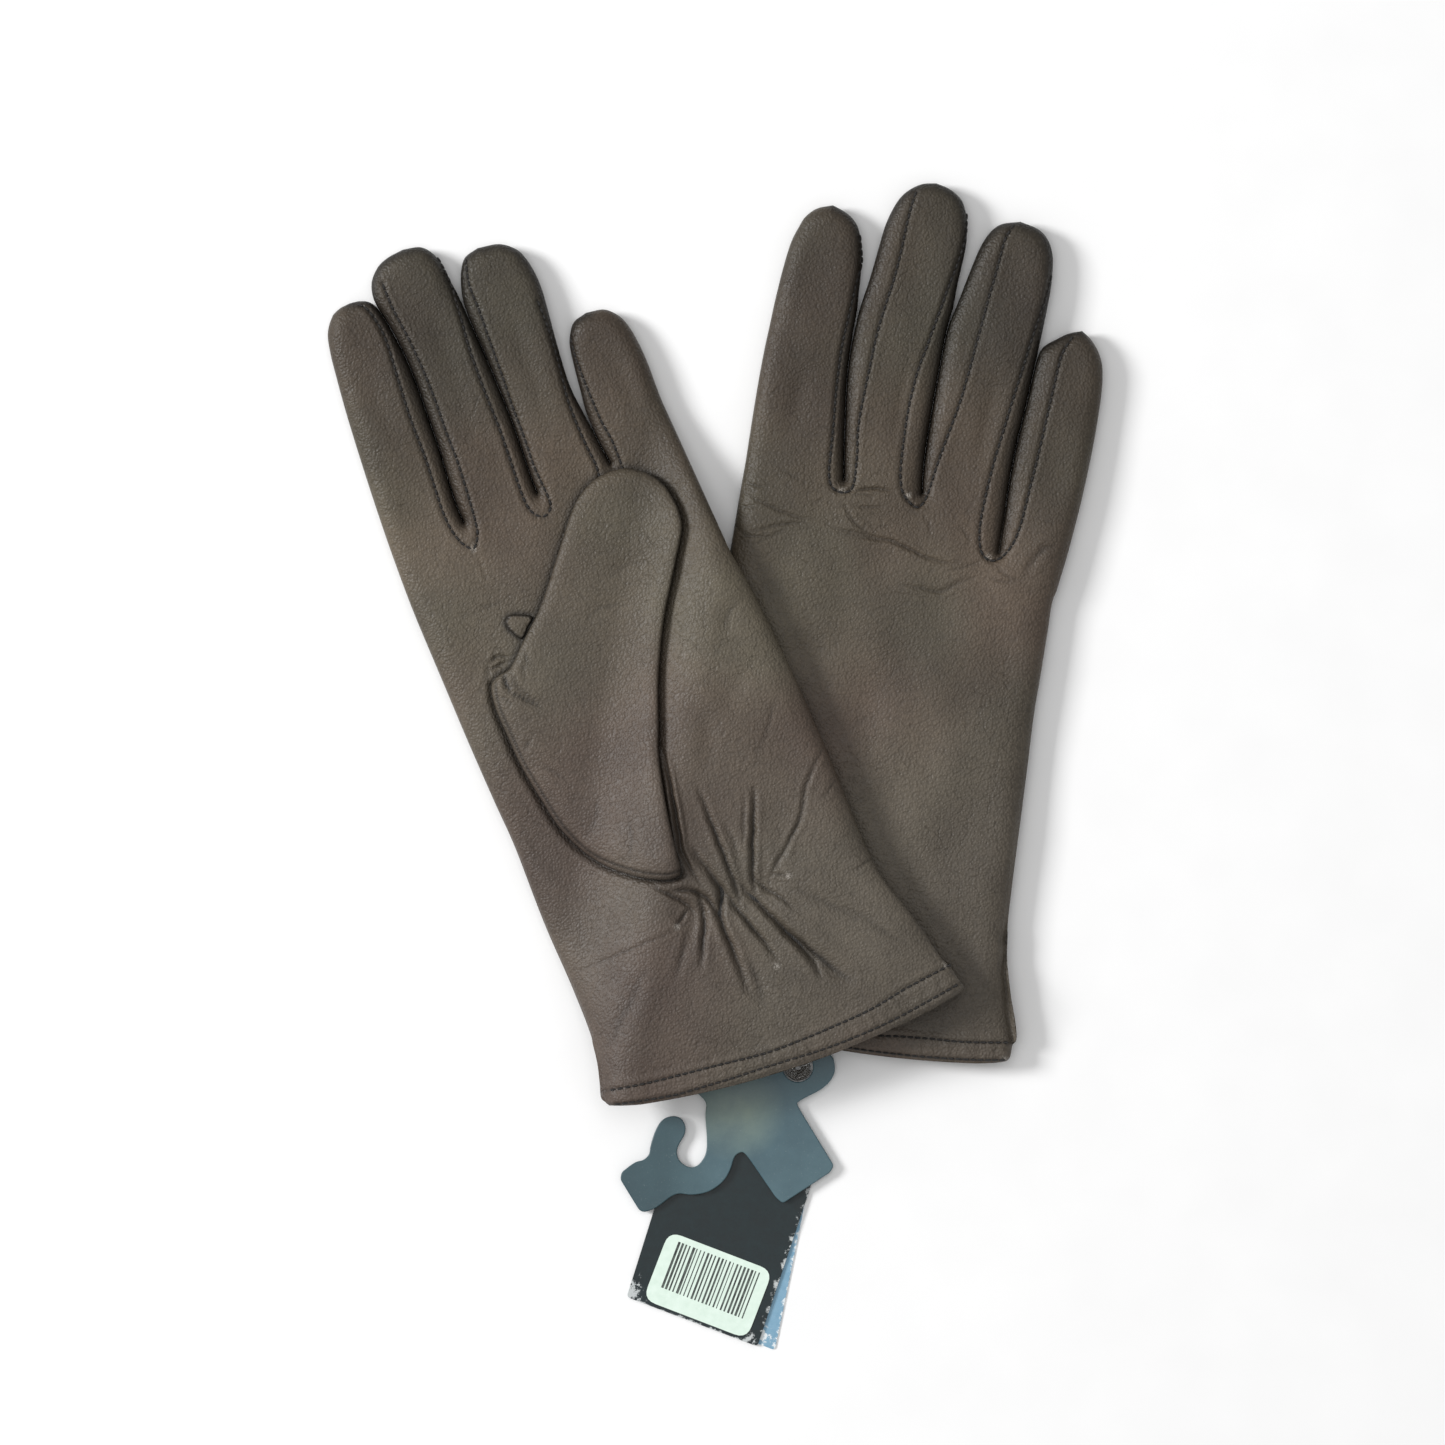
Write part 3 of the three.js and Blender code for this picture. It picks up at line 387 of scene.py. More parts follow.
def around_line(p, line, reach, taper):
    """Which points are near a line, their distances from it and along it, and a fade to its ends."""
    low, high = line.min(0) - reach, line.max(0) + reach
    some = np.where(((p > low) & (p < high)).all(1))[0]
    if not len(some):
        return some, np.zeros(0), np.zeros(0), 1
    far, along, total = near(p[some], line)
    return some, far, along, faded(along / total) if taper else 1


def faded(share):
    """Falls to 0 at both ends of a line."""
    return np.clip(np.sin(np.pi * share), 0, 1) ** 0.8


def groove(p, line, depth, wide, taper=True, ridge=0.25, pitch=0):
    """Height change at points p for a furrow along the line, with a slight ridge beside it."""
    out = np.zeros(len(p))
    some, far, along, fade = around_line(p, line, 5 * wide, taper)
    if pitch:
        fade = fade * (0.72 + 0.28 * np.cos(2 * np.pi * along / pitch))
    cut = np.exp(-(far / wide) ** 2) - ridge * np.exp(-((far - 2.1 * wide) / (1.1 * wide)) ** 2)
    out[some] = -depth * cut * fade
    return out


def painted_shade_and_seam_lines(glove, x, y):
    """How dark the painted shade is in the creases, in the gaps between the fingers and round the thumb and
    its leaf, together with the dark lines of the seams and hem rows: 1 on the line itself.
    """
    p = np.stack([x.ravel(), y.ravel()], 1)
    out = np.zeros(len(p))
    # The seam and hem lines are dark joints; the gaps between the fingers, the creases and the thumb's edges
    # get painted shade.
    lines = [(line, 0.75, 0.52, False) for line in glove["seam_lines"]]
    lines += [(line, 0.45, 0.5, False) for line in glove["hem_lines"]]
    lines += [(line, 1.0, 2.1, False) for line in glove["fork_lines"]]
    for line, depth, wide in glove["crease_lines"]:
        if wide < 2.4 and depth >= 0.25 and line[0, 1] < 176:
            lines.append((line, min(1, 0.15 + 0.75 * depth), 0.1 + 0.36 * wide, True))
    if glove["palm_up"]:
        lines.append((curve(THUMB_SEWN, 1.2), 1.0, 1.3, False))
        lines.append((curve(QUIRK + QUIRK[:1], 0.8), 1.0, 0.85, False))
        lines.append((curve(THUMB_ROOT[15:], 1.2), 0.85, 1.5, False))
        lines.append((curve(THUMB_FREE, 1.2), 0.8, 1.5, False))
    for line, strength, wide, taper in lines:
        some, far, _, fade = around_line(p, line, 4 * wide, taper)
        out[some] = np.maximum(out[some], strength * np.exp(-(far / wide) ** 2) * fade)
    return out.reshape(x.shape)


def rounded_edge(q, power):
    """Rises steeply from 0 at the very edge to 1 further in."""
    return (1 - (1 - q) ** power) ** (1 / power)


def undulation(p):
    """The slow waves of the whole skin."""
    x, y = p[:, 0], p[:, 1]
    return (0.22 * np.sin(x * 0.11 + 0.5 * np.sin(y * 0.047)) * np.cos(y * 0.052 + 0.7)
            + 0.13 * np.sin(x * 0.23 - y * 0.13 + 1.3) + 0.09 * np.sin(x * 0.41 + y * 0.17 + 2.1))


def relief(glove, p, top):
    """Height of the seams, creases, hem rows and gathers above the plain swelling of the leather."""
    h = undulation(p)
    mouth = p[:, 1] - glove["bow"](p[:, 0])
    ripple = np.sin(p[:, 0] * 1.25 + 1.6 * np.sin(p[:, 0] * 0.23))
    ripple += 0.6 * np.sin(p[:, 0] * 2.3 + mouth * 0.5)
    h += 0.1 * ripple * np.exp(-((mouth - 4.5) / 3.4) ** 2)
    for line in glove["seam_lines"]:
        h += groove(p, line, 0.62, 0.62, taper=False, ridge=0.3, pitch=PITCH)
    for line, depth, wide in glove["crease_lines"]:
        h += groove(p, line, depth * (1 if top else 0.5), wide * (0.7 if wide < 2 else 1))
    for line in glove["hem_lines"]:
        h += groove(p, line, 0.42, 0.6, taper=False, ridge=0.3, pitch=PITCH)
    if glove["palm_up"] and top:
        x, y = p[:, 0], p[:, 1]
        pull = np.exp(-((y - 47) / 6) ** 2) * smooth((18 - np.abs(x)) / 5)
        h -= 1.1 * pull
        fan = (x - 2) / (1 + 0.035 * np.abs(y - 47))
        spread = np.exp(-((y - 47) / 17) ** 2) * smooth((22 - np.abs(fan)) / 8)
        h += 0.16 * spread * np.sin(fan * 2 * np.pi / 5.3 + 0.9 * np.sin(y * 0.21) + 0.8)
        h += groove(p, curve(THUMB_SEWN, 1.2), 0.9, 1.1, taper=False)
        strip = curve([(-1.9, 95), (-3.8, 86), (-6.4, 76), (-8.2, 68), (-8.4, 62)])
        h -= groove(p, strip, 1.5, 0.8, ridge=0)
        lip = curve([(0.6, 97), (-1, 87), (-3.7, 74), (-5.5, 66.5), (-4.9, 60)])
        h -= groove(p, lip, 0.6, 0.8, ridge=0)
    return h


def thickness(y):
    """Full thickness of the empty glove, from the palm to the fingers."""
    return HAND_THICK + (FINGER_THICK - HAND_THICK) * smooth((y - 150) / 35)


def levels(glove, x, y, inset=0.0):
    """Upper and lower height of the glove at points of its own frame, with the wall's inset."""
    p = np.stack([x.ravel(), y.ravel()], 1)
    far = edge_distance(glove, p) - inset
    full = thickness(p[:, 1])
    radius = 8.6 - 2.6 * smooth((p[:, 1] - 150) / 30)
    q = np.clip(far / radius, 0, 1)
    reach = full / 2 * rounded_edge(q, 2.3)
    soft = np.clip(far / 2.2, 0, 1)
    mouth = y.ravel() - glove["bow"](x.ravel())
    pinch = 1 - 0.16 * (1 - smooth(mouth / 22))
    reach = np.maximum(reach * pinch - inset * np.clip(q * 2, 0, 1), 0)
    mid = full / 2
    top = mid + reach
    low = mid - reach
    if inset == 0:
        band = 0.35 * smooth((9 - mouth) / 1.2)
        roll = 1.5 * np.clip(1 - mouth / 1.8, 0, 1) ** 2
        top = top + (relief(glove, p, True) + band) * soft - roll * np.clip(far / 3, 0, 1)
        low = low - (relief(glove, p, False) * 0.5) * soft + roll * np.clip(far / 3, 0, 1)
        if not glove["palm_up"]:
            ground = HOLLOW * smooth((p[:, 1] - 30) / 12) * smooth((169 - p[:, 1]) / 7)
            low = np.maximum(low, np.minimum(ground, mid))
        low = np.minimum(np.maximum(low, 0.02), mid)
        low = np.where(far <= 0.02, mid, low)
    else:
        ground = 0 if glove["palm_up"] else HOLLOW * smooth((p[:, 1] - 30) / 12)
        low = np.minimum(np.maximum(low, ground + inset), mid - 0.02)
        top = np.maximum(top, mid + 0.02)
    return top.reshape(x.shape), low.reshape(x.shape)


# ---- mesh making ----
def linked(name, data):
    """A new object for a mesh, curve, light or camera, put in the scene."""
    obj = bpy.data.objects.new(name, data)
    bpy.context.scene.collection.objects.link(obj)
    return obj


def make(name, verts, faces, materials, slots=None):
    """A smooth-shaded object from places in millimetres."""
    mesh = bpy.data.meshes.new(name)
    mesh.from_pydata((np.asarray(verts) * MM).tolist(), [], faces)
    for m in materials:
        mesh.materials.append(m)
    if slots is not None:
        mesh.polygons.foreach_set("material_index", np.asarray(slots, np.int32))
    mesh.polygons.foreach_set("use_smooth", np.ones(len(mesh.polygons), bool))
    mesh.update()
    return linked(name, mesh)


def tube(rings, cap_first=False, cap_last=False, flip=False):
    """Quads between closed rings of one size. rings has the shape (rows, around, 3)."""
    rows, around = rings.shape[:2]
    j, k = np.meshgrid(np.arange(rows - 1), np.arange(around), indexing="ij")
    a = j * around + k
    b = j * around + (k + 1) % around
    quad = np.stack([a, b, b + around, a + around], -1).reshape(-1, 4)
    faces = (quad[:, ::-1] if flip else quad).tolist()
    if cap_first:
        faces += flat_cap(0, around, True)
    if cap_last:
        faces += flat_cap((rows - 1) * around, around, False)
    return rings.reshape(-1, 3), faces


def flat_cap(start, around, first):
    """Closes a ring whose upper half runs left to right and whose lower half runs back."""
    half = around // 2
    faces = []
    for k in range(half):
        up, up2 = start + k, start + k + 1
        down, down2 = start + (around - k) % around, start + (around - k - 1) % around
        face = [up, up2, down2, down] if first else [down, down2, up2, up]
        face = list(dict.fromkeys(face))
        if len(face) > 2:
            faces.append(face)
    return faces


def ring_rows(glove, x, y, top, low):
    """Closed rings: across the upper side from left to right, then back along the lower side."""
    up = placed(glove, x, y, top)
    down = placed(glove, x, y, low)
    return np.concatenate([up, down[:, -2:0:-1]], 1)


def stitch_set(glove, pieces):
    """Thread stitches, each a short tapered bar that dips into the leather at its ends."""
    verts, faces = [], []
    for at, along, side, level in pieces:
        base = len(verts)
        for s, size in ((-0.95, 0.12), (-0.7, 0.32), (0, 0.39), (0.7, 0.32), (0.95, 0.12)):
            rise = 0.16 - 0.42 * abs(s) ** 3
            for c, v in ((-1, -0.35), (-0.55, 0.5), (0.55, 0.5), (1, -0.35)):
                q = at + along * s + side * c * size
                verts.append((q[0], q[1], level + rise + v * size))
        for i in range(4):
            for k in range(4):
                a, b = base + i * 4 + k, base + i * 4 + (k + 1) % 4
                faces.append((a, b, b + 4, a + 4))
        faces.append((base + 3, base + 2, base + 1, base))
        faces.append((base + 16, base + 17, base + 18, base + 19))
    if not verts:
        return np.zeros((0, 3)), []
    v = np.array(verts)
    return placed(glove, v[:, 0], v[:, 1], v[:, 2]), faces


def along_line(line, pitch=PITCH):
    """The middle and the direction of every stitch on a line."""
    steps = np.sqrt(((line[1:] - line[:-1]) ** 2).sum(1))
    run = np.concatenate([[0], np.cumsum(steps)])
    marks = np.arange(pitch / 2, run[-1], pitch)
    x = np.interp(marks, run, line[:, 0])
    y = np.interp(marks, run, line[:, 1])
    dx = np.interp(marks + 0.4, run, line[:, 0]) - np.interp(marks - 0.4, run, line[:, 0])
    dy = np.interp(marks + 0.4, run, line[:, 1]) - np.interp(marks - 0.4, run, line[:, 1])
    size = np.maximum(np.hypot(dx, dy), 1e-6)
    return np.stack([x, y], 1), np.stack([dx / size, dy / size], 1)


def seam_stitches(glove, lines, wanted, top=True):
    pieces = []
    for line in lines:
        at, direction = along_line(line)
        keep = wanted(at)
        at, direction = at[keep], direction[keep]
        if not len(at):
            continue
        up, low = levels(glove, at[:, 0], at[:, 1])
        level = up if top else low
        for p, d, z in zip(at, direction, level):
            pieces.append((p, d, np.array([-d[1], d[0]]), z if top else max(z - 0.1, 0.26)))
    return pieces


def sewn(glove, verts, faces, lines, wanted):
    """A skin with the stitches of its seams on its upper and its lower side."""
    stitches = seam_stitches(glove, lines, wanted) + seam_stitches(glove, lines, wanted, top=False)
    thread, thread_faces = stitch_set(glove, stitches)
    parts = [(verts, faces, 0)]
    if len(thread):
        parts.append((thread, thread_faces, 1))
    return join(parts)


def join(parts):
    """Several (verts, faces, material index) as one set."""
    verts, faces, slots = [], [], []
    count = 0
    for v, f, m in parts:
        verts.append(v)
        faces += [tuple(i + count for i in face) for face in f]
        slots += [m] * len(f)
        count += len(v)
    return np.vstack(verts), faces, slots


# ---- materials ----
def material(name):
    m = bpy.data.materials.new(name)
    m.use_nodes = True
    nodes = m.node_tree.nodes
    nodes.clear()
    out = nodes.new("ShaderNodeOutputMaterial")
    shader = nodes.new("ShaderNodeBsdfPrincipled")
    m.node_tree.links.new(shader.outputs[0], out.inputs[0])
    return m, m.node_tree, nodes.new("ShaderNodeTexCoord").outputs["Object"]


def texture(tree, kind, where, scale, **sockets):
    node = tree.nodes.new(kind)
    feed(tree, node, {"Vector": where, "Scale": scale, **sockets})
    return node


def noise(tree, where, scale, **sockets):
    return texture(tree, "ShaderNodeTexNoise", where, scale, **sockets).outputs[0]


def stored(tree, name):
    """The value that the mesh carries under this name."""
    node = tree.nodes.new("ShaderNodeAttribute")
    node.attribute_name = name
    return node.outputs["Fac"]


def axes(tree, where):
    node = tree.nodes.new("ShaderNodeSeparateXYZ")
    tree.links.new(where, node.inputs[0])
    return node.outputs


def ramp(tree, source, stops):
    node = tree.nodes.new("ShaderNodeValToRGB")
    tree.links.new(source, node.inputs[0])
    while len(node.color_ramp.elements) < len(stops):
        node.color_ramp.elements.new(0.5)
    for element, (place, colour) in zip(node.color_ramp.elements, stops):
        element.position = place
        element.color = (*colour, 1) if len(colour) == 3 else colour
    return node.outputs[0]


def feed(tree, node, values):
    """Sets each named or numbered input: a number or a colour on the socket, anything else linked to it."""
    for key, value in values.items():
        if isinstance(value, (int, float)):
            node.inputs[key].default_value = value
        elif isinstance(value, tuple):
            node.inputs[key].default_value = (*value, 1)
        else:
            tree.links.new(value, node.inputs[key])


def blended(tree, a, b, amount, how="MIX"):
    node = tree.nodes.new("ShaderNodeMix")
    node.data_type = "RGBA"
    node.blend_type = how
    feed(tree, node, {0: amount, 6: a, 7: b})
    return node.outputs[2]


def tinted(tree, tone, by, amount=1.0):
    return blended(tree, tone, by, amount, "MULTIPLY")


def calc(tree, how, a, b=0.0):
    node = tree.nodes.new("ShaderNodeMath")
    node.operation = how
    feed(tree, node, {0: a, 1: b})
    return node.outputs[0]


def times(tree, a, b):
    return calc(tree, "MULTIPLY", a, b)


def ranged(tree, source, low, high, a=0.0, b=1.0):
    node = tree.nodes.new("ShaderNodeMapRange")
    tree.links.new(source, node.inputs[0])
    for i, v in enumerate((a, b, low, high)):
        node.inputs[i + 1].default_value = v
    return node.outputs[0]


def bump(tree, height, distance, before=None, strength=1.0):
    node = tree.nodes.new("ShaderNodeBump")
    feed(tree, node, {"Strength": strength, "Distance": distance, "Height": height})
    if before is not None:
        feed(tree, node, {"Normal": before})
    return node.outputs[0]


def finished(m, tone, rough, more):
    """Fills the material's shader, and gives the material."""
    shader = m.node_tree.nodes["Principled BSDF"]
    feed(m.node_tree, shader, {"Base Color": tone, "Roughness": rough, **more})
    return m


def leather_material():
    m, t, where = material("glove_leather")
    broad = noise(t, where, 26, Detail=3)
    fine = noise(t, where, 420, Detail=4, Roughness=0.6)
    pebble = texture(t, "ShaderNodeTexVoronoi", where, 1450, Randomness=1.0)
    pebble.feature = "SMOOTH_F1"
    small = noise(t, where, 2600, Detail=3)
    tone = ramp(t, broad, [(0.3, (0.046, 0.0365, 0.0265)), (0.7, (0.084, 0.069, 0.0495))])
    hue = noise(t, where, 17, Detail=1)
    tint = ramp(t, hue, [(0.38, (1.10, 1.0, 0.96)), (0.62, (0.98, 1.01, 0.95))])
    tone = tinted(t, tone, tint)
    mottle = ramp(t, fine, [(0.35, (0.75, 0.75, 0.75)), (0.7, (1.12, 1.11, 1.1))])
    tone = tinted(t, tone, mottle, 0.4)
    grain = ramp(t, pebble.outputs["Distance"], [(0.15, (1.08, 1.08, 1.08)), (0.75, (0.72, 0.71, 0.7))])
    tone = tinted(t, tone, grain, 0.8)
    # Painted shade and light: the leather is darker toward the fingertips and paler over the palm and cuff.
    # Toward the cuffs it is also a little cooler in hue.
    up = axes(t, where)[1]
    tone = tinted(t, tone, ranged(t, up, 1.33, 0.73, 0.06, 0.125))
    cool = blended(t, (0.99, 0.99, 1.12), (1.0, 1.0, 1.0), ranged(t, up, 0, 1, -0.03, 0.09))
    tone = tinted(t, tone, cool)
    # Painted shade: the crease attribute darkens the leather in creases, between the fingers and round the
    # thumb and its leaf, along with the dark seam and hem lines.
    tone = tinted(t, tone, (0.16, 0.15, 0.14), times(t, stored(t, "crease"), 0.95))
    speck = times(t, stored(t, "worn"), ranged(t, small, 0, 1, 0.42, 0.62))
    tone = blended(t, tone, (0.42, 0.39, 0.35), speck)
    # Fine crinkles: a patchy, wandering net of shallow lines.
    bend = texture(t, "ShaderNodeTexNoise", where, 90, Detail=3)
    moved = blended(t, where, bend.outputs["Color"], 0.018)
    net = texture(t, "ShaderNodeTexVoronoi", moved, 165)
    net.feature = "DISTANCE_TO_EDGE"
    patchy = noise(t, where, 38, Detail=2)
    line = ranged(t, net.outputs["Distance"], 1, 0, 0.0, 0.07)
    line = times(t, line, ranged(t, patchy, 0, 1, 0.46, 0.66))
    tone = tinted(t, tone, (0.6, 0.6, 0.6), times(t, line, 0.2))
    crinkle = bump(t, times(t, line, -1.0), 0.0003, strength=0.32)
    first = bump(t, fine, 0.0003, crinkle, 0.4)
    second = bump(t, times(t, pebble.outputs["Distance"], -1.0), 0.0003, first, 0.95)
    third = bump(t, small, 0.00006, second, 0.4)
    rough = ranged(t, fine, 0.44, 0.58, 0.3, 0.7)
    return finished(m, tone, rough, {"Normal": third, "Specular IOR Level": 0.34})


def thread_material():
    m, t, where = material("thread")
    twist = texture(t, "ShaderNodeTexWave", where, 1500, Distortion=2.0).outputs[0]
    tone = ramp(t, twist, [(0.2, (0.006, 0.005, 0.005)), (0.8, (0.02, 0.017, 0.015))])
    return finished(m, tone, 0.6, {"Normal": bump(t, twist, 0.0001)})


def knit_material():
    m, t, where = material("knit_lining")
    rib = texture(t, "ShaderNodeTexWave", where, 620, Distortion=1.2)
    rib.bands_direction = "X"
    loops = texture(t, "ShaderNodeTexVoronoi", where, 900)
    both = times(t, rib.outputs[0], calc(t, "SUBTRACT", 1.0, loops.outputs["Distance"]))
    fuzz = noise(t, where, 1800, Detail=3)
    tone = ramp(t, both, [(0.1, (0.012, 0.011, 0.010)), (0.8, (0.055, 0.048, 0.042))])
    tone = tinted(t, tone, ramp(t, fuzz, [(0.3, (0.7, 0.7, 0.7)), (0.7, (1.2, 1.2, 1.2))]), 0.7)
    return finished(m, tone, 0.95, {"Normal": bump(t, both, 0.0005), "Sheen Weight": 0.35})


def hanger_material():
    m, t, where = material("hanger_plastic")
    cloud = noise(t, where, 55, Detail=5, Roughness=0.62)
    # The neck between the hook and the foot is clouded and paler; the hook is darker.
    off = t.nodes.new("ShaderNodeVectorMath")
    off.operation = "DISTANCE"
    t.links.new(where, off.inputs[0])
    off.inputs[1].default_value = (0.0067, -0.1032, 0.002)
    pale = ranged(t, off.outputs["Value"], 1, 0, 0.004, 0.0155)
    pale = times(t, pale, ranged(t, cloud, 0.45, 1, 0.35, 0.6))
    hook = ranged(t, axes(t, where)[0], 1, 0, -0.014, 0.002)
    base = ramp(t, cloud, [(0.3, (0.046, 0.094, 0.116)), (0.7, (0.088, 0.152, 0.176))])
    base = tinted(t, base, (0.60, 0.64, 0.64), hook)
    tone = blended(t, base, (0.182, 0.238, 0.20), pale)
    fine = noise(t, where, 900, Detail=3)
    dust = noise(t, where, 1600, Detail=4, Roughness=0.7)
    tone = blended(t, tone, (0.30, 0.34, 0.34), ranged(t, dust, 0, 0.5, 0.62, 0.8))
    rough = ranged(t, cloud, 0.28, 0.5, 0.3, 0.7)
    normal = bump(t, fine, 0.00006, bump(t, cloud, 0.0004, strength=0.3), 0.5)
    return finished(m, tone, rough, {"Normal": normal, "Specular IOR Level": 0.35})


def card_material(name, low, high, speck, amount, rough):
    m, t, where = material(name)
    fibre = noise(t, where, 260, Detail=6, Roughness=0.7)
    worn = noise(t, where, 420, Detail=5, Roughness=0.75)
    patch = noise(t, where, 70, Detail=2)
    tone = ramp(t, fibre, [(0.3, low), (0.7, high)])
    edge = stored(t, "worn")
    rubbed = ranged(t, calc(t, "ADD", worn, times(t, edge, 0.16)), 0, 1, 0.6, 0.74)
    where_rubbed = calc(t, "ADD", times(t, edge, 3.0), ranged(t, patch, 0, amount, 0.6, 0.75))
    place = calc(t, "MINIMUM", times(t, rubbed, where_rubbed), 1.0)
    tone = blended(t, tone, speck, place)
    rough = ranged(t, fibre, rough - 0.1, rough + 0.1, 0.3, 0.7)
    normal = bump(t, fibre, 0.00008, strength=0.4)
    return finished(m, tone, rough, {"Normal": normal, "Specular IOR Level": 0.25})


# Metres on the label: one cell of the bars, then half the size and the middle of the block.
BAR_CELL = 0.00118
BARS_HALF_WIDTH = 0.0134
BARS_HALF_HEIGHT = 0.0074
BARS_MIDDLE = 0.0017


def sticker_material(centre, turn):
    m, t, where = material("sticker_paper")
    turnto = t.nodes.new("ShaderNodeMapping")
    turnto.vector_type = "TEXTURE"
    turnto.inputs["Location"].default_value = (centre[0] * MM, centre[1] * MM, 0)
    turnto.inputs["Rotation"].default_value = (0, 0, math.radians(turn))
    t.links.new(where, turnto.inputs[0])
    x, y, _ = axes(t, turnto.outputs[0])
    # One bar in each cell, of a width that the cell's number picks.
    cells = calc(t, "DIVIDE", x, BAR_CELL)
    cell = t.nodes.new("ShaderNodeCombineXYZ")
    t.links.new(calc(t, "FLOOR", cells), cell.inputs[0])
    pick = t.nodes.new("ShaderNodeTexWhiteNoise")
    t.links.new(cell.outputs[0], pick.inputs["Vector"])
    bar = calc(t, "LESS_THAN", calc(t, "FRACT", cells), ranged(t, pick.outputs[0], 0.24, 0.72))
    across = calc(t, "LESS_THAN", calc(t, "ABSOLUTE", x), BARS_HALF_WIDTH)
    tall = calc(t, "LESS_THAN", calc(t, "ABSOLUTE", calc(t, "SUBTRACT", y, BARS_MIDDLE)), BARS_HALF_HEIGHT)
    ink = times(t, bar, times(t, across, tall))
    fibre = noise(t, where, 500, Detail=5)
    paper = ramp(t, fibre, [(0.3, (0.66, 0.80, 0.70)), (0.7, (0.74, 0.87, 0.78))])
    fade = times(t, ink, ranged(t, fibre, 0.88, 1.0, 0.3, 0.7))
    tone = blended(t, paper, (0.012, 0.015, 0.015), fade)
    return finished(m, tone, 0.5, {"Normal": bump(t, fibre, 0.00003)})


def nylon_material(name, colour):
    m, t, where = material(name)
    haze = noise(t, where, 800, Detail=3)
    tone = ramp(t, haze, [(0.3, colour), (0.7, tuple(min(1, c * 1.3) for c in colour))])
    clear = {"Transmission Weight": 0.55, "IOR": 1.5, "Normal": bump(t, haze, 0.00005)}
    return finished(m, tone, ranged(t, haze, 0.15, 0.35), clear)


LEATHER = leather_material()
THREAD = thread_material()
KNIT = knit_material()


def store(obj, name, values):
    """Keeps one value a vertex on the mesh, for the materials to read."""
    obj.data.attributes.new(name, "FLOAT", "POINT").data.foreach_set("value", values.astype(np.float32))


def mark_shade_and_seams(obj, values):
    """values: how dark the painted shade and the seam lines are at the first vertices, kept as the crease
    attribute; the rest, such as stitches, get none.
    """
    full = np.zeros(len(obj.data.vertices), np.float32)
    full[:values.size] = values.ravel()
    store(obj, "crease", full)


def ring_values(values):
    return np.concatenate([values, values[:, -2:0:-1] * 0.7], 1)


def mark_worn(obj, spots, radius):
    """Where the finish is rubbed through: 1 at a spot, 0 away from it."""
    co = np.empty(len(obj.data.vertices) * 3)
    obj.data.vertices.foreach_get("co", co)
    co = co.reshape(-1, 3) / MM
    value = np.zeros(len(co))
    for spot in spots:
        far = np.linalg.norm(co[:, :2] - np.asarray(spot[:2]), axis=1)
        value = np.maximum(value, np.clip(1 - far / radius, 0, 1))
    store(obj, "worn", value)


# ---- gloves ----

def finger_grid(glove, name):
    left, right = glove["fingers"][name]
    tip = left[-1][1]
    cut = glove["cut"]
    count = int((tip - cut) * 1.5)
    s = np.linspace(0, 1, count)
    y = cut + (tip - cut) * (0.55 * np.sin(np.pi / 2 * s) + 0.45 * (1 - (1 - s) ** 1.6))
    names = list(glove["fingers"])
    a = side_at(left, y) + (0.1 if name != names[0] else 0)
    b = side_at(right, y) - (0.1 if name != names[-1] else 0)
    u = 0.5 - 0.5 * np.cos(np.pi * np.linspace(0, 1, COLUMNS))
    u = 0.65 * u + 0.35 * np.linspace(0, 1, COLUMNS)
    x = a[:, None] + (b - a)[:, None] * u
    return x, np.repeat(y[:, None], COLUMNS, 1)


def spread(count, length, zones):
    """Places along a length, closer together inside the zones of (start, end, gain)."""
    s = np.linspace(0, length, 3000)
    soft = 0.04 * length
    density = np.ones(len(s))
    for a, b, gain in zones:
        density += gain * smooth((s - a + soft) / soft) * smooth((b + soft - s) / soft)
    total = np.concatenate([[0], np.cumsum(density[1:] + density[:-1])])
    return np.interp(np.linspace(0, 1, count), total / total[-1], s)


def hand_grid(glove):
    """Rows from the mouth to the fingers' roots. The last row has the fingers' own first points."""
    cut = glove["cut"]
    root = np.concatenate([finger_grid(glove, name)[0][0] for name in glove["fingers"]])
    goal = (root - root[0]) / (root[-1] - root[0])
    even = spread(len(root), 1, glove["fine_columns"])
    level = spread(ROWS, cut, glove["fine_rows"])
    v = level / cut
    a, b = side_at(glove["hand_left"], level), side_at(glove["hand_right"], level)
    share = smooth((level - 30) / (cut - 30))[:, None]
    u = even + (goal - even) * share
    x = a[:, None] + (b - a)[:, None] * u
    bow = glove["bow"](x)
    y = bow + (cut - bow) * v[:, None]
    x[-1], y[-1] = root, cut
    return x, y


def hem_corner(x, depth, radius=2.8):
    """Draws the sides of a row in near the mouth, so that the hem's corners are rounded."""
    back = np.clip(1 - np.asarray(depth, float) / radius, 0, 1)
    cut = radius * (1 - np.sqrt(1 - back ** 2))[..., None] * 0.8
    left = np.clip(1 - (x - x[..., :1]) / 9, 0, 1)
    right = np.clip(1 - (x[..., -1:] - x) / 9, 0, 1)
    return x + cut * left - cut * right


def body_name(glove, part):
    return glove["name"] + "_" + part


# (depth from the mouth, distance inside the skin) of each ring of the hem facing and of the lining.
FACING = ((11, 1.5), (8, 1.45), (5, 1.4), (2.5, 1.35), (0.8, 1.2), (-0.1, 0.85))
LINING = ((9.5, 1.45), (10, 1.9), (16, 2), (30, 2), (50, 2), (75, 2), (100, 2), (125, 2), (140, 2))
LINING_POINTS = 60


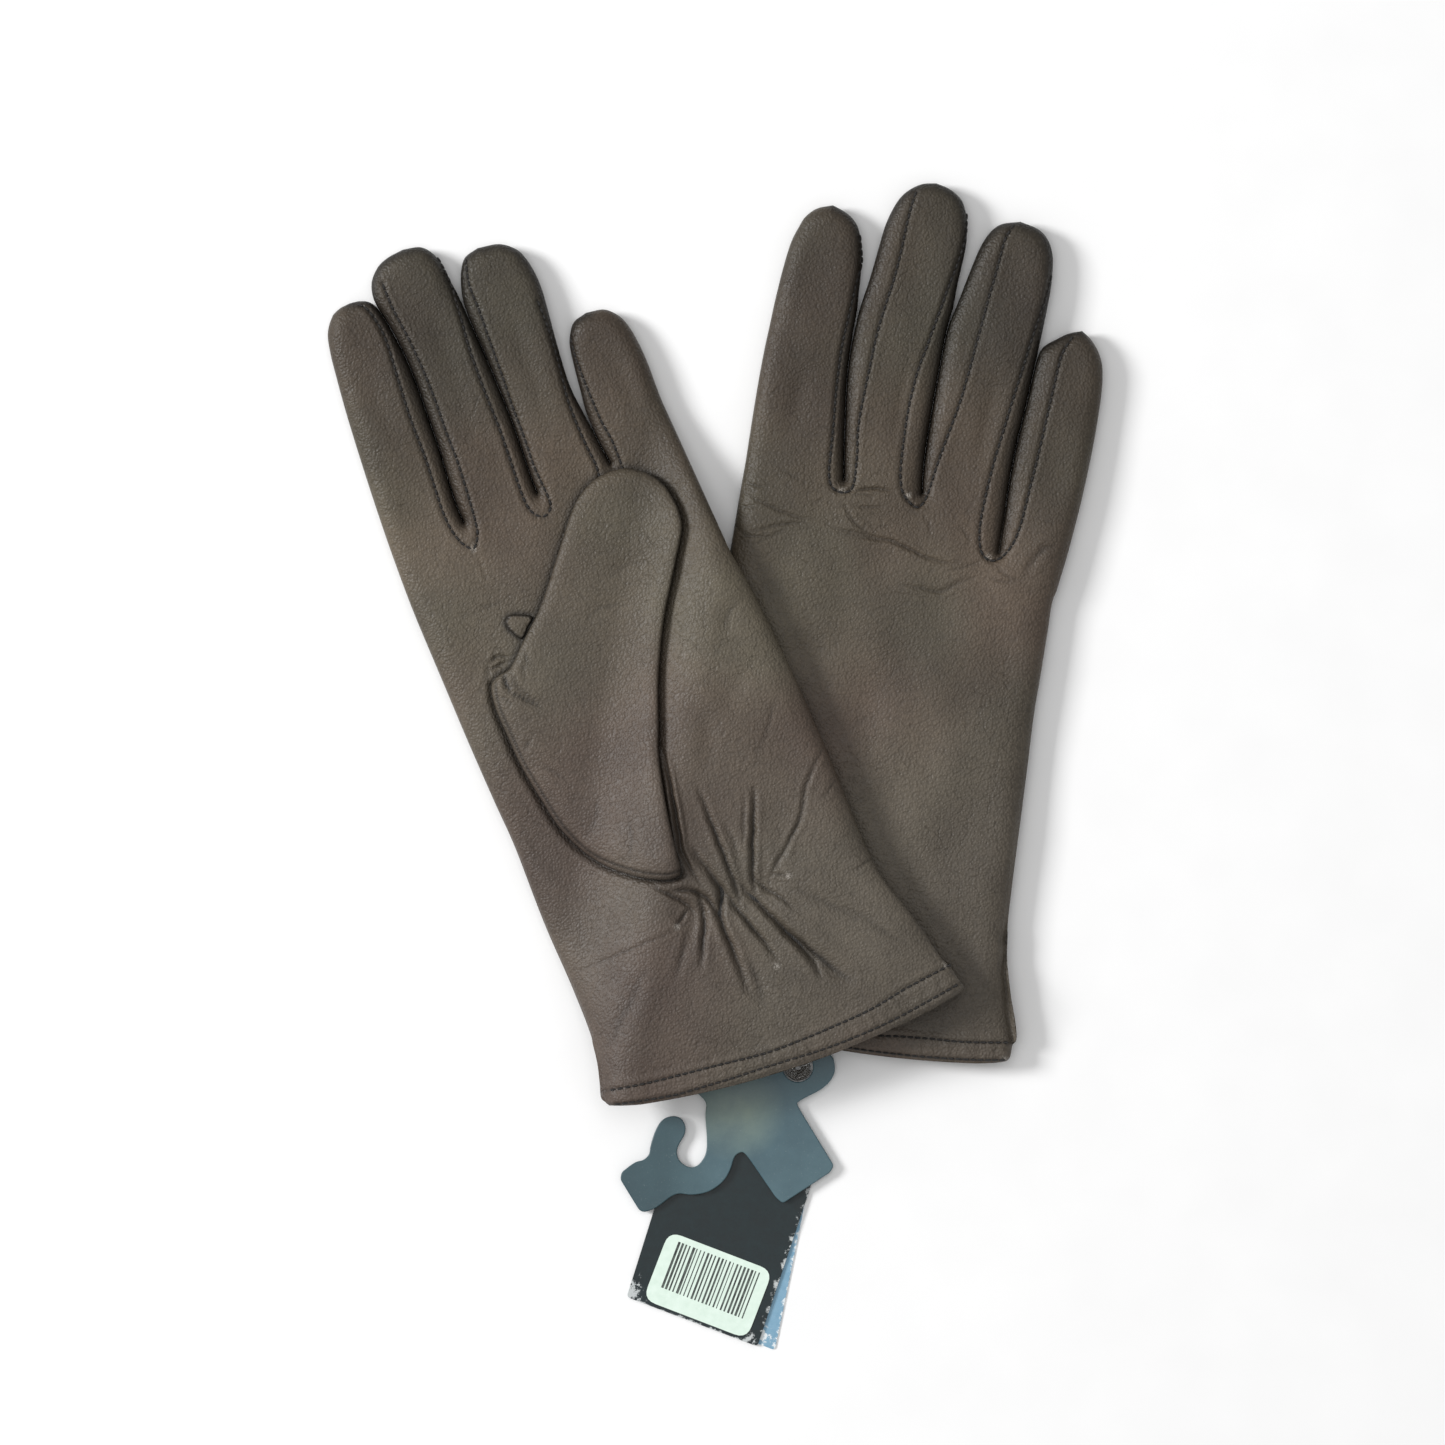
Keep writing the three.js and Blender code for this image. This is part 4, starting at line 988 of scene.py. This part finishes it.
def build_hand(glove):
    x, y = hand_grid(glove)
    top, low = levels(glove, x, y)
    depths = spread(ROWS, glove["cut"], glove["fine_rows"])
    outer = ring_rows(glove, hem_corner(x, depths), y, top, low)
    # The turned-in hem, from the facing inside the mouth out to a rounded lip.
    inner = []
    for depth, inset in FACING:
        xi = x[0] + np.linspace(inset, -inset, x.shape[1])
        yi = glove["bow"](xi) + depth
        a = side_at(glove["hand_left"], np.array([depth]))[0] - x[0][0]
        b = side_at(glove["hand_right"], np.array([depth]))[0] - x[0][-1]
        xi = xi + a + (b - a) * np.linspace(0, 1, x.shape[1])
        t, l = levels(glove, xi[None], yi[None], inset)
        inner.append(ring_rows(glove, hem_corner(xi[None], [depth]), yi[None], t, l)[0])
    rings = np.concatenate([np.array(inner), outer])
    verts, faces = tube(rings)

    def wanted(p):
        side = np.minimum(p[:, 0] - side_at(glove["hand_left"], p[:, 1]),
                          side_at(glove["hand_right"], p[:, 1]) - p[:, 0])
        inside = (side > 2.6) | ((side > 1.2) & (p[:, 1] - glove["bow"](p[:, 0]) > 3.2))
        return (p[:, 1] < glove["cut"]) & inside
    v, f, m = sewn(glove, verts, faces, glove["seam_lines"] + glove["hem_lines"], wanted)
    obj = make(body_name(glove, "glove_hand"), v, f, [LEATHER, THREAD], m)
    inside_values = np.zeros((len(inner), rings.shape[1]))
    mark_shade_and_seams(obj, np.concatenate([inside_values, ring_values(painted_shade_and_seam_lines(glove, x, y))]))
    spots = [placed(glove, np.array([a]), np.array([b]), np.array([0.0]))[0] for a, b in glove["worn"]]
    mark_worn(obj, spots, 1.4)
    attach(obj, body_name(glove, "hand"))
    nodes = ["hand_trank", "hem_facing"] + (["thumb_quirk"] if not glove["palm_up"] else [])
    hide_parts(*[body_name(glove, n) for n in nodes])
    return obj


def build_lining(glove):
    rings = []
    for depth, inset in LINING:
        a = side_at(glove["hand_left"], np.array([depth]))[0] + inset
        b = side_at(glove["hand_right"], np.array([depth]))[0] - inset
        xi = np.linspace(a, b, LINING_POINTS)
        yi = glove["bow"](xi) * max(0, 1 - depth / 60) + depth
        t, l = levels(glove, xi[None], yi[None], inset)
        rings.append(ring_rows(glove, xi[None], yi[None], t, l)[0])
    rings = np.array(rings)
    verts, faces = tube(rings, flip=True, cap_last=True)
    obj = make(body_name(glove, "glove_lining"), verts, faces, [KNIT])
    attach(obj, body_name(glove, "hand"))
    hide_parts(*[body_name(glove, n) for n in ("hand_lining", "wrist_elastic")])


# The fourchettes of each finger, hidden with the finger's other parts.
FOURCHETTES = {"index": ["index_fourchette"], "little": ["little_fourchette"],
               "middle": ["middle_fourchette_inner", "middle_fourchette_outer"],
               "ring": ["ring_fourchette_inner", "ring_fourchette_outer"]}


def build_finger(glove, name):
    x, y = finger_grid(glove, name)
    top, low = levels(glove, x, y)
    rings = ring_rows(glove, x, y, top, low)
    verts, faces = tube(rings, cap_last=True)
    left, right = glove["fingers"][name]

    def wanted(p):
        inside = (p[:, 0] > side_at(left, p[:, 1])) & (p[:, 0] < side_at(right, p[:, 1]))
        return inside & (p[:, 1] >= glove["cut"])
    v, f, m = sewn(glove, verts, faces, glove["seam_lines"], wanted)
    obj = make(body_name(glove, f"glove_{name}"), v, f, [LEATHER, THREAD], m)
    mark_shade_and_seams(obj, ring_values(painted_shade_and_seam_lines(glove, x, y)))
    mark_worn(obj, [], 1)
    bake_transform(obj)
    nodes = [f"{name}_stall", f"{name}_lining"] + FOURCHETTES[name]
    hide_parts(*[body_name(glove, n) for n in nodes])
    return obj


# Places closer than this, in metres, are the same point of a joint line.
SAME_PLACE = 2e-6


def match_normals(hand, fingers):
    """Gives the hand and the fingers one shading normal where they meet, so that no joint line shows."""
    tables = {}
    for obj in [hand] + fingers:
        n = np.array([v.vector for v in obj.data.vertex_normals], float)
        co = np.array([v.co for v in obj.data.vertices], float)
        tables[obj.name] = (n, co)
    hn, hc = tables[hand.name]
    keys = {tuple(np.round(c / SAME_PLACE).astype(int)): i for i, c in enumerate(hc)}
    for obj in fingers:
        n, co = tables[obj.name]
        for i in range(min(len(co), 2 * COLUMNS - 2)):
            j = keys.get(tuple(np.round(co[i] / SAME_PLACE).astype(int)))
            if j is not None:
                both = n[i] + hn[j]
                both /= np.linalg.norm(both)
                n[i], hn[j] = both, both
        obj.data.normals_split_custom_set_from_vertices(n.tolist())
    hand.data.normals_split_custom_set_from_vertices(hn.tolist())


def thumb_frame(glove):
    """How to place the upper glove's thumb on this glove: the lower thumb lies further in and is smaller."""
    if glove["palm_up"]:
        return lambda p: p
    pivot = np.array([-38, 95])

    def place(p):
        q = (p - pivot) * 0.9
        return pivot + np.stack(turned(q[..., 0], q[..., 1], -12), -1)
    return place


def even_points(line, count):
    """Points spread along a line, a little closer at its ends."""
    steps = np.sqrt(((line[1:] - line[:-1]) ** 2).sum(1))
    run = np.concatenate([[0], np.cumsum(steps)]) / steps.sum()
    s = np.linspace(0, 1, count)
    s = 0.5 * s + 0.5 * (0.5 - 0.5 * np.cos(np.pi * s))
    return np.stack([np.interp(s, run, line[:, 0]), np.interp(s, run, line[:, 1])], 1)


def build_thumb(glove):
    place = thumb_frame(glove)
    root, free = curve(THUMB_ROOT, 0.8), curve(THUMB_FREE, 0.8)
    a, b = even_points(root, THUMB_ROWS), even_points(free, THUMB_ROWS)
    u = 0.5 - 0.5 * np.cos(np.pi * np.linspace(0, 1, THUMB_COLUMNS))
    u = (0.6 * u + 0.4 * np.linspace(0, 1, THUMB_COLUMNS))[None, :, None]
    grid = a[:, None] + (b - a)[:, None] * u
    flat = grid.reshape(-1, 2)
    far_root = near(flat, root)[0]
    far_free = near(flat, free)[0]
    far_sewn = near(flat, curve(THUMB_SEWN, 0.8))[0]
    far = np.minimum(far_root, far_free)
    q = np.clip(far / 4.6, 0, 1)
    f = rounded_edge(q, 2.4)
    soft = np.clip(far / 2, 0, 1)
    h = 0.12 * np.sin(flat[:, 0] * 0.16 + 1) * np.cos(flat[:, 1] * 0.09)
    for line, depth, wide in THUMB_CREASES:
        h += groove(flat, curve(line), depth, wide)
    moved_in = [(x + (1.5 if x < -30 else 0.8), y + (1.6 if y < 75 else 0)) for x, y in THUMB_SEWN]
    sewn_line = curve(moved_in, 0.8)
    h += groove(flat, sewn_line, 0.35, 0.5, taper=False, pitch=PITCH)
    crown = 0.5 * smooth(far / 14)
    top = 1.5 + (THUMB_THICK - 1.5 + crown) * f + h * soft
    low = 1.5 - 1.5 * f
    sewn = smooth(1 - far_sewn / 7)
    if glove["palm_up"]:
        base = HAND_THICK + THUMB_CLEAR
        top = base + top - sewn * 1.9 * (1 - f * 0.55)
        low = base + low - sewn * 1.2
    shape = grid.shape[:2]
    spot = place(grid)
    rings = ring_rows(glove, spot[..., 0], spot[..., 1], top.reshape(shape), low.reshape(shape))
    verts, faces = tube(rings, cap_first=True, cap_last=True)
    obj = make(body_name(glove, "glove_thumb"), verts, faces, [LEATHER])
    # Painted shade in the thumb's creases and round its edges, with the dark line of its sewn seam.
    dark = np.zeros(len(flat))
    for line, depth, wide in THUMB_CREASES:
        away, along, total = near(flat, curve(line))
        fade = faded(along / total)
        dark = np.maximum(dark, 1.6 * depth * fade * np.exp(-(away / 0.45) ** 2))
    dark = np.maximum(dark, 0.8 * np.exp(-(near(flat, sewn_line)[0] / 0.5) ** 2))
    dark = np.maximum(dark, 0.5 * np.exp(-(far / 0.8) ** 2))
    mark_shade_and_seams(obj, ring_values(dark.reshape(shape)))
    mark_worn(obj, [], 1)
    if glove["palm_up"]:
        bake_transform(obj)
    else:
        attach(obj, "right_thumb")
    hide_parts(body_name(glove, "thumb_leather"), body_name(glove, "thumb_lining"))
    return obj


def build_quirk(glove):
    """The small leaf of leather beside the thumb's crotch, with its stitched rim."""
    rim = curve(QUIRK + QUIRK[:1], 0.5)[:-1]
    centre = rim.mean(0)
    verts = [np.array([[centre[0], centre[1], 1.85]])]
    for s in (0.25, 0.5, 0.72, 0.86, 0.95, 1):
        q = centre + (rim - centre) * s
        seam = 0.35 * math.exp(-((s - 0.72) / 0.07) ** 2)
        z = 0.15 + 1.7 * rounded_edge(min((1 - s) / 0.35, 1), 2.2) - seam
        verts.append(np.column_stack([q, np.full(len(q), z)]))
    verts.append(np.column_stack([rim, np.full(len(rim), -0.6)]))
    v = np.vstack(verts)
    n = len(rim)
    faces = [(0, 1 + k, 1 + (k + 1) % n) for k in range(n)]
    for r in range(len(verts) - 2):
        s = 1 + r * n
        faces += [(s + k, s + n + k, s + n + (k + 1) % n, s + (k + 1) % n) for k in range(n)]
    faces.append(tuple(1 + (len(verts) - 2) * n + k for k in range(n))[::-1])
    top, _ = levels(glove, v[:, 0], v[:, 1])
    world = placed(glove, v[:, 0], v[:, 1], top - 0.15 + v[:, 2])
    obj = make(body_name(glove, "glove_quirk"), world, faces, [LEATHER])
    # Painted shade darkens the leaf's outer edge and, more lightly, its side wall.
    mark_shade_and_seams(obj, np.concatenate([np.zeros(1 + 3 * n), np.full(3 * n, 0.95), np.full(n, 0.2)]))
    mark_worn(obj, [], 1)
    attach(obj, body_name(glove, "hand"))
    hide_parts(body_name(glove, "thumb_quirk"))


for glove in (RIGHT, LEFT):
    prepare(glove)
    hand = build_hand(glove)
    build_lining(glove)
    fingers = [build_finger(glove, name) for name in glove["fingers"]]
    match_normals(hand, fingers)
    build_thumb(glove)
    if glove["palm_up"]:
        build_quirk(glove)


# ---- hanger, cards and loop ----
HANGER_AT = (24.8, -90)
HANGER_OUTLINE = [(-31, -7.5), (-27.3, -10.6), (-28, -14.4), (-27.4, -20.5), (-27.4, -25.9), (-29.5, -29.5),
    (-32.2, -30.7), (-35.5, -28.9), (-36.7, -25.9), (-35.8, -23.2), (-34, -20.5), (-33.7, -17.8),
    (-35.2, -15.4), (-37.6, -14.7), (-40.6, -15.6), (-42.7, -18.4), (-44.5, -23.8), (-44.7, -26.5),
    (-46.6, -28.3), (-49, -28.6), (-53.2, -31.9), (-53.5, -34), (-47.8, -43.3), (-46.3, -43.9),
    (-42.7, -42.7), (-36.7, -37.9), (-32.2, -38.8), (-26.8, -37.9), (-22.2, -34.6), (-20.1, -30.7),
    (-19.2, -27.1), (-17.4, -25.7), (-15.9, -25.9), (-6.6, -39.4), (-4.5, -41.2), (9.7, -31.9),
    (10.9, -29.8), (-0.3, -11.4), (0, -10.5), (8.2, -6.3), (11.2, -2.4), (11.2, 0.9), (10.4, 3.4),
    (7.6, 4.8), (0, 5.8), (-8, 4.8), (-20, 1), (-31, -2.5)]
SHARP = {20, 21, 22, 23, 33, 34, 35, 36}
CARD_PIN_AT = (14.6, -97.5)
FRONT_CARD = [(-3, 4), (4, 4), (17.5, -18.5), (-2, -76.9), (-41.4, -62), (-32, -32), (-16.5, -24)]
BACK_CARD = [(-3, 3), (5, 3), (14.5, -20), (11.5, -38), (3.3, -78.1), (-6, -74.5), (-34, -61), (-16, -26)]
STICKER_AT = (-16.9, -58.4)
STICKER_TURN = -21


def rounded(points, radius, sharp=()):
    """The outline with each corner cut back and rounded by a short curve."""
    p = np.array(points, float)
    out = []
    n = len(p)
    for i in range(n):
        a, b, c = p[i - 1], p[i], p[(i + 1) % n]
        r = radius if i not in sharp else 0.9
        ra = min(r, np.linalg.norm(a - b) * 0.48)
        rc = min(r, np.linalg.norm(c - b) * 0.48)
        s = b + (a - b) / np.linalg.norm(a - b) * ra
        e = b + (c - b) / np.linalg.norm(c - b) * rc
        for t in np.linspace(0, 1, 6):
            out.append((1 - t) ** 2 * s + 2 * t * (1 - t) * b + t * t * e)
    return np.array(out)


def plate(name, outline, holes, at, low, high, look, bevel=0.12):
    """A flat sheet part with softened edges, from a plan outline and round holes."""
    data = bpy.data.curves.new(name, "CURVE")
    data.dimensions = "2D"
    data.fill_mode = "BOTH"
    data.extrude = ((high - low) / 2 - bevel) * MM
    data.bevel_depth = bevel * MM
    data.bevel_resolution = 3
    data.offset = -bevel * MM
    loops = [outline]
    for centre, radius in holes:
        angle = np.linspace(0, 2 * np.pi, 48, endpoint=False)
        loops.append(np.array(centre) + radius * np.stack([np.cos(angle), np.sin(angle)], 1))
    for loop in loops:
        spline = data.splines.new("POLY")
        spline.points.add(len(loop) - 1)
        for item, (x, y) in zip(spline.points, loop):
            item.co = ((x + at[0] + SHIFT[0]) * MM, (y + at[1] + SHIFT[1]) * MM, 0, 1)
        spline.use_cyclic_u = True
    source = linked(name + "_source", data)
    bpy.context.view_layer.update()
    mesh = bpy.data.meshes.new_from_object(source.evaluated_get(bpy.context.evaluated_depsgraph_get()))
    bpy.data.objects.remove(source)
    bpy.data.curves.remove(data)
    mesh.name = name
    for vertex in mesh.vertices:
        vertex.co.z += (low + high) / 2 * MM
    mesh.materials.clear()
    mesh.materials.append(look)
    return linked(name, mesh)


def subdivided(obj, cuts_mm):
    """Adds points inside the flat faces, so that wear along the edges has somewhere to live."""
    bm = bmesh.new()
    bm.from_mesh(obj.data)
    bmesh.ops.triangulate(bm, faces=bm.faces[:])
    for _ in range(6):
        long_edges = [e for e in bm.edges if e.calc_length() > cuts_mm * MM]
        if not long_edges:
            break
        bmesh.ops.subdivide_edges(bm, edges=long_edges, cuts=1)
        bmesh.ops.triangulate(bm, faces=bm.faces[:])
    bm.to_mesh(obj.data)
    bm.free()


def edge_wear(obj, line, at, width, spots):
    co = np.array([v.co for v in obj.data.vertices]) / MM
    line = np.array(line) + np.array(at) + SHIFT
    value = 0.8 * np.clip(1 - near(co[:, :2], line)[0] / width, 0, 1)
    for spot, radius in spots:
        far = np.linalg.norm(co[:, :2] - (np.array(spot) + np.array(at) + SHIFT), axis=1)
        value = np.maximum(value, np.clip(1.3 - far / radius, 0, 1))
    store(obj, "worn", value)


hanger_plan = rounded(HANGER_OUTLINE, 3, SHARP)
hanger = plate("garment_hanger", hanger_plan, [((0, 0), 4.6)], HANGER_AT, 1.5, 2.7, hanger_material(), 0.3)
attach(hanger, "hanger")
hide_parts("hanger")

front_plan = rounded(FRONT_CARD, 1.2)
black = card_material("dark_card", (0.007, 0.013, 0.015), (0.018, 0.029, 0.032), (0.50, 0.53, 0.53),
                      0.1, 0.38)
front = plate("swing_card_front", front_plan, [((0, 0), 1.6)], CARD_PIN_AT, 0.7, 1.1, black, 0.06)
subdivided(front, 2.5)
edge_wear(front, FRONT_CARD[2:5], CARD_PIN_AT, 0.9, [((-39.5, -60.5), 5), ((-3.5, -75), 2)])
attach(front, "front_card")
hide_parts("front_card")

back_plan = rounded(BACK_CARD, 1.2)
blue = card_material("blue_card", (0.17, 0.33, 0.46), (0.25, 0.42, 0.55), (0.75, 0.80, 0.82), 0.5, 0.55)
back = plate("swing_card_back", back_plan, [((0, 0), 1.6)], CARD_PIN_AT, 0, 0.4, blue, 0.06)
subdivided(back, 2.5)
edge_wear(back, BACK_CARD[2:5], CARD_PIN_AT, 0.8, [((-0.5, -73.5), 3.8)])
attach(back, "back_card")
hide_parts("back_card")


corners = [(16.75, 11), (-16.75, 11), (-16.75, -11), (16.75, -11)]
sticker_plan = np.stack(turned(*rounded(corners, 4).T, STICKER_TURN), 1) + np.array(STICKER_AT)
sticker_centre = np.array(STICKER_AT) + np.array(CARD_PIN_AT) + SHIFT
paper = sticker_material(sticker_centre, STICKER_TURN)
sticker = plate("card_label", sticker_plan, [], CARD_PIN_AT, 1.2, 1.35, paper, 0.03)
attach(sticker, "front_card")
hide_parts("card_sticker")


def swept(route, radius):
    """A round strand along a smooth line."""
    line = curve(route, 0.25)
    ahead = np.gradient(line, axis=0)
    ahead /= np.linalg.norm(ahead, axis=1)[:, None]
    side = np.cross(ahead, np.array([1.0, 0.03, 0.05]))
    side /= np.linalg.norm(side, axis=1)[:, None]
    other = np.cross(ahead, side)
    angle = np.linspace(0, 2 * np.pi, 12, endpoint=False)
    rings = line[:, None] + radius * (side[:, None] * np.cos(angle)[None, :, None]
                                       + other[:, None] * np.sin(angle)[None, :, None])
    verts, faces = tube(rings, flip=True)
    last = len(verts) - 12
    faces += [list(range(12)), list(range(last, last + 12))[::-1]]
    return verts, faces


LOOP_ROUTE = [(-3.2, 1.9), (-3.2, 3.3), (-0.6, 4.6), (3.6, 5.6), (5, 7), (5, 9.4), (3.8, 10.1), (1.6, 10.1),
    (0.45, 9.2), (0.45, 4), (0.45, 1.9), (-0.3, 0.8), (-1.6, 0.8), (-2.7, 0.9)]
KNOT_ROUTE = [(-1.9, -1.6, 3.1), (-0.4, -2.4, 3.3), (1.3, -1.7, 3.2), (1.9, -0.2, 3.0), (0.9, 1.1, 3.2),
    (-0.8, 1.0, 3.4), (-1.7, -0.2, 3.5), (-0.9, -1.5, 3.7), (0.7, -1.6, 3.7), (1.3, -0.4, 3.7),
    (0.3, 0.6, 3.8)]
# A flat coil of grey strand lies in the hanger's hole as painted shade, standing in for the shade seen
# through it.
COIL_CENTRE_Y = -6.26
COIL_ANGLE = 25


def shade_coil_point(share):
    """A point of the grey coil that fills the hanger's hole as painted shade: share runs from 0 at its
    middle to 1 at its rim.
    """
    radius = 0.9 + 3.0 * share
    x = radius * math.cos(COIL_ANGLE * share)
    y = COIL_CENTRE_Y + radius * math.sin(COIL_ANGLE * share)
    return x, y, 1.5 + 0.25 * math.sin(17 * share)


SHADE_COIL = [shade_coil_point(share) for share in np.linspace(0, 1, 60)]
# The loop and the knot are the nylon fastener; the coil is painted shade in the hanger's hole.
strands = [swept([(0, y, z) for y, z in LOOP_ROUTE], 0.4), swept(SHADE_COIL, 0.46),
           swept([(1.6 * x, 0.9 * y - 3.6, z) for x, y, z in KNOT_ROUTE], 0.4)]
strand_verts, strand_faces, _ = join([(v, f, 0) for v, f in strands])
strand = placed(RIGHT, strand_verts[:, 0] - 7.8, strand_verts[:, 1], strand_verts[:, 2])
CLEAR = nylon_material("clear_nylon", (0.13, 0.12, 0.105))
loop = make("nylon_fastener_and_shade_coil", strand, strand_faces, [CLEAR])
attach(loop, "right_hand")
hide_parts("fastener_loop")

PIN_PROFILE = [(0.9, 0.1), (1.0, 0.2), (1.0, 1.2), (0.92, 1.33), (0.7, 1.4)]
PIN_SIDES = 32
angle = np.linspace(0, 2 * np.pi, PIN_SIDES, endpoint=False)
pin_x, pin_y = np.array(CARD_PIN_AT) + SHIFT
pin_rings = np.array([
    np.column_stack([r * np.cos(angle) + pin_x, r * np.sin(angle) + pin_y, np.full(PIN_SIDES, z)])
    for r, z in PIN_PROFILE])
pin_verts, pin_faces = tube(pin_rings)
pin_faces += [list(range(PIN_SIDES))[::-1], list(range(len(pin_verts) - PIN_SIDES, len(pin_verts)))]
pin = make("swing_pin", pin_verts, pin_faces, [nylon_material("pin_nylon", (0.08, 0.08, 0.08))])
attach(pin, "hanger")
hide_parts("card_pin")


# ---- floor, light and camera ----
FLOOR_REACH = 3000
floor_corners = [(-FLOOR_REACH, -FLOOR_REACH, 0), (FLOOR_REACH, -FLOOR_REACH, 0),
                 (FLOOR_REACH, FLOOR_REACH, 0), (-FLOOR_REACH, FLOOR_REACH, 0)]
floor = make("floor", floor_corners, [(0, 1, 2, 3)], [])
floor_look, t, where = material("studio_floor")
speck = noise(t, where, 40, Detail=2)
paint = ramp(t, speck, [(0.3, (0.90, 0.90, 0.90)), (0.7, (0.92, 0.92, 0.92))])
floor.data.materials.append(finished(floor_look, paint, 0.9, {}))


def area_light(name, place, size, energy, aim=(0, 0, 0)):
    data = bpy.data.lights.new(name, "AREA")
    data.size = size
    data.energy = energy
    light = linked(name, data)
    light.location = place
    light.rotation_euler = (Vector(aim) - Vector(place)).to_track_quat("-Z", "Y").to_euler()


area_light("key", (-2.3, 0.6, 1.6), 0.8, 74)
area_light("top", (-0.2, 0.3, 2.6), 1.8, 18)
world = bpy.data.worlds.new("studio")
world.use_nodes = True
world.node_tree.nodes["Background"].inputs[0].default_value = (1, 1, 1, 1)
world.node_tree.nodes["Background"].inputs[1].default_value = 0.42
bpy.context.scene.world = world
bpy.context.scene.view_settings.view_transform = "Standard"

# The photo is 0.4349 m across at the height of the leather.
PHOTO_WIDTH = 0.4349
CAMERA_HEIGHT = 3.0
camera_data = bpy.data.cameras.new("camera")
camera_data.sensor_width = 36
camera_data.lens = camera_data.sensor_width * CAMERA_HEIGHT / PHOTO_WIDTH
camera_data.clip_start, camera_data.clip_end = 0.1, 20
camera = linked("camera", camera_data)
camera.location = (0.0027, 0.0140, CAMERA_HEIGHT + 0.008)
bpy.context.scene.camera = camera

bpy.context.view_layer.update()
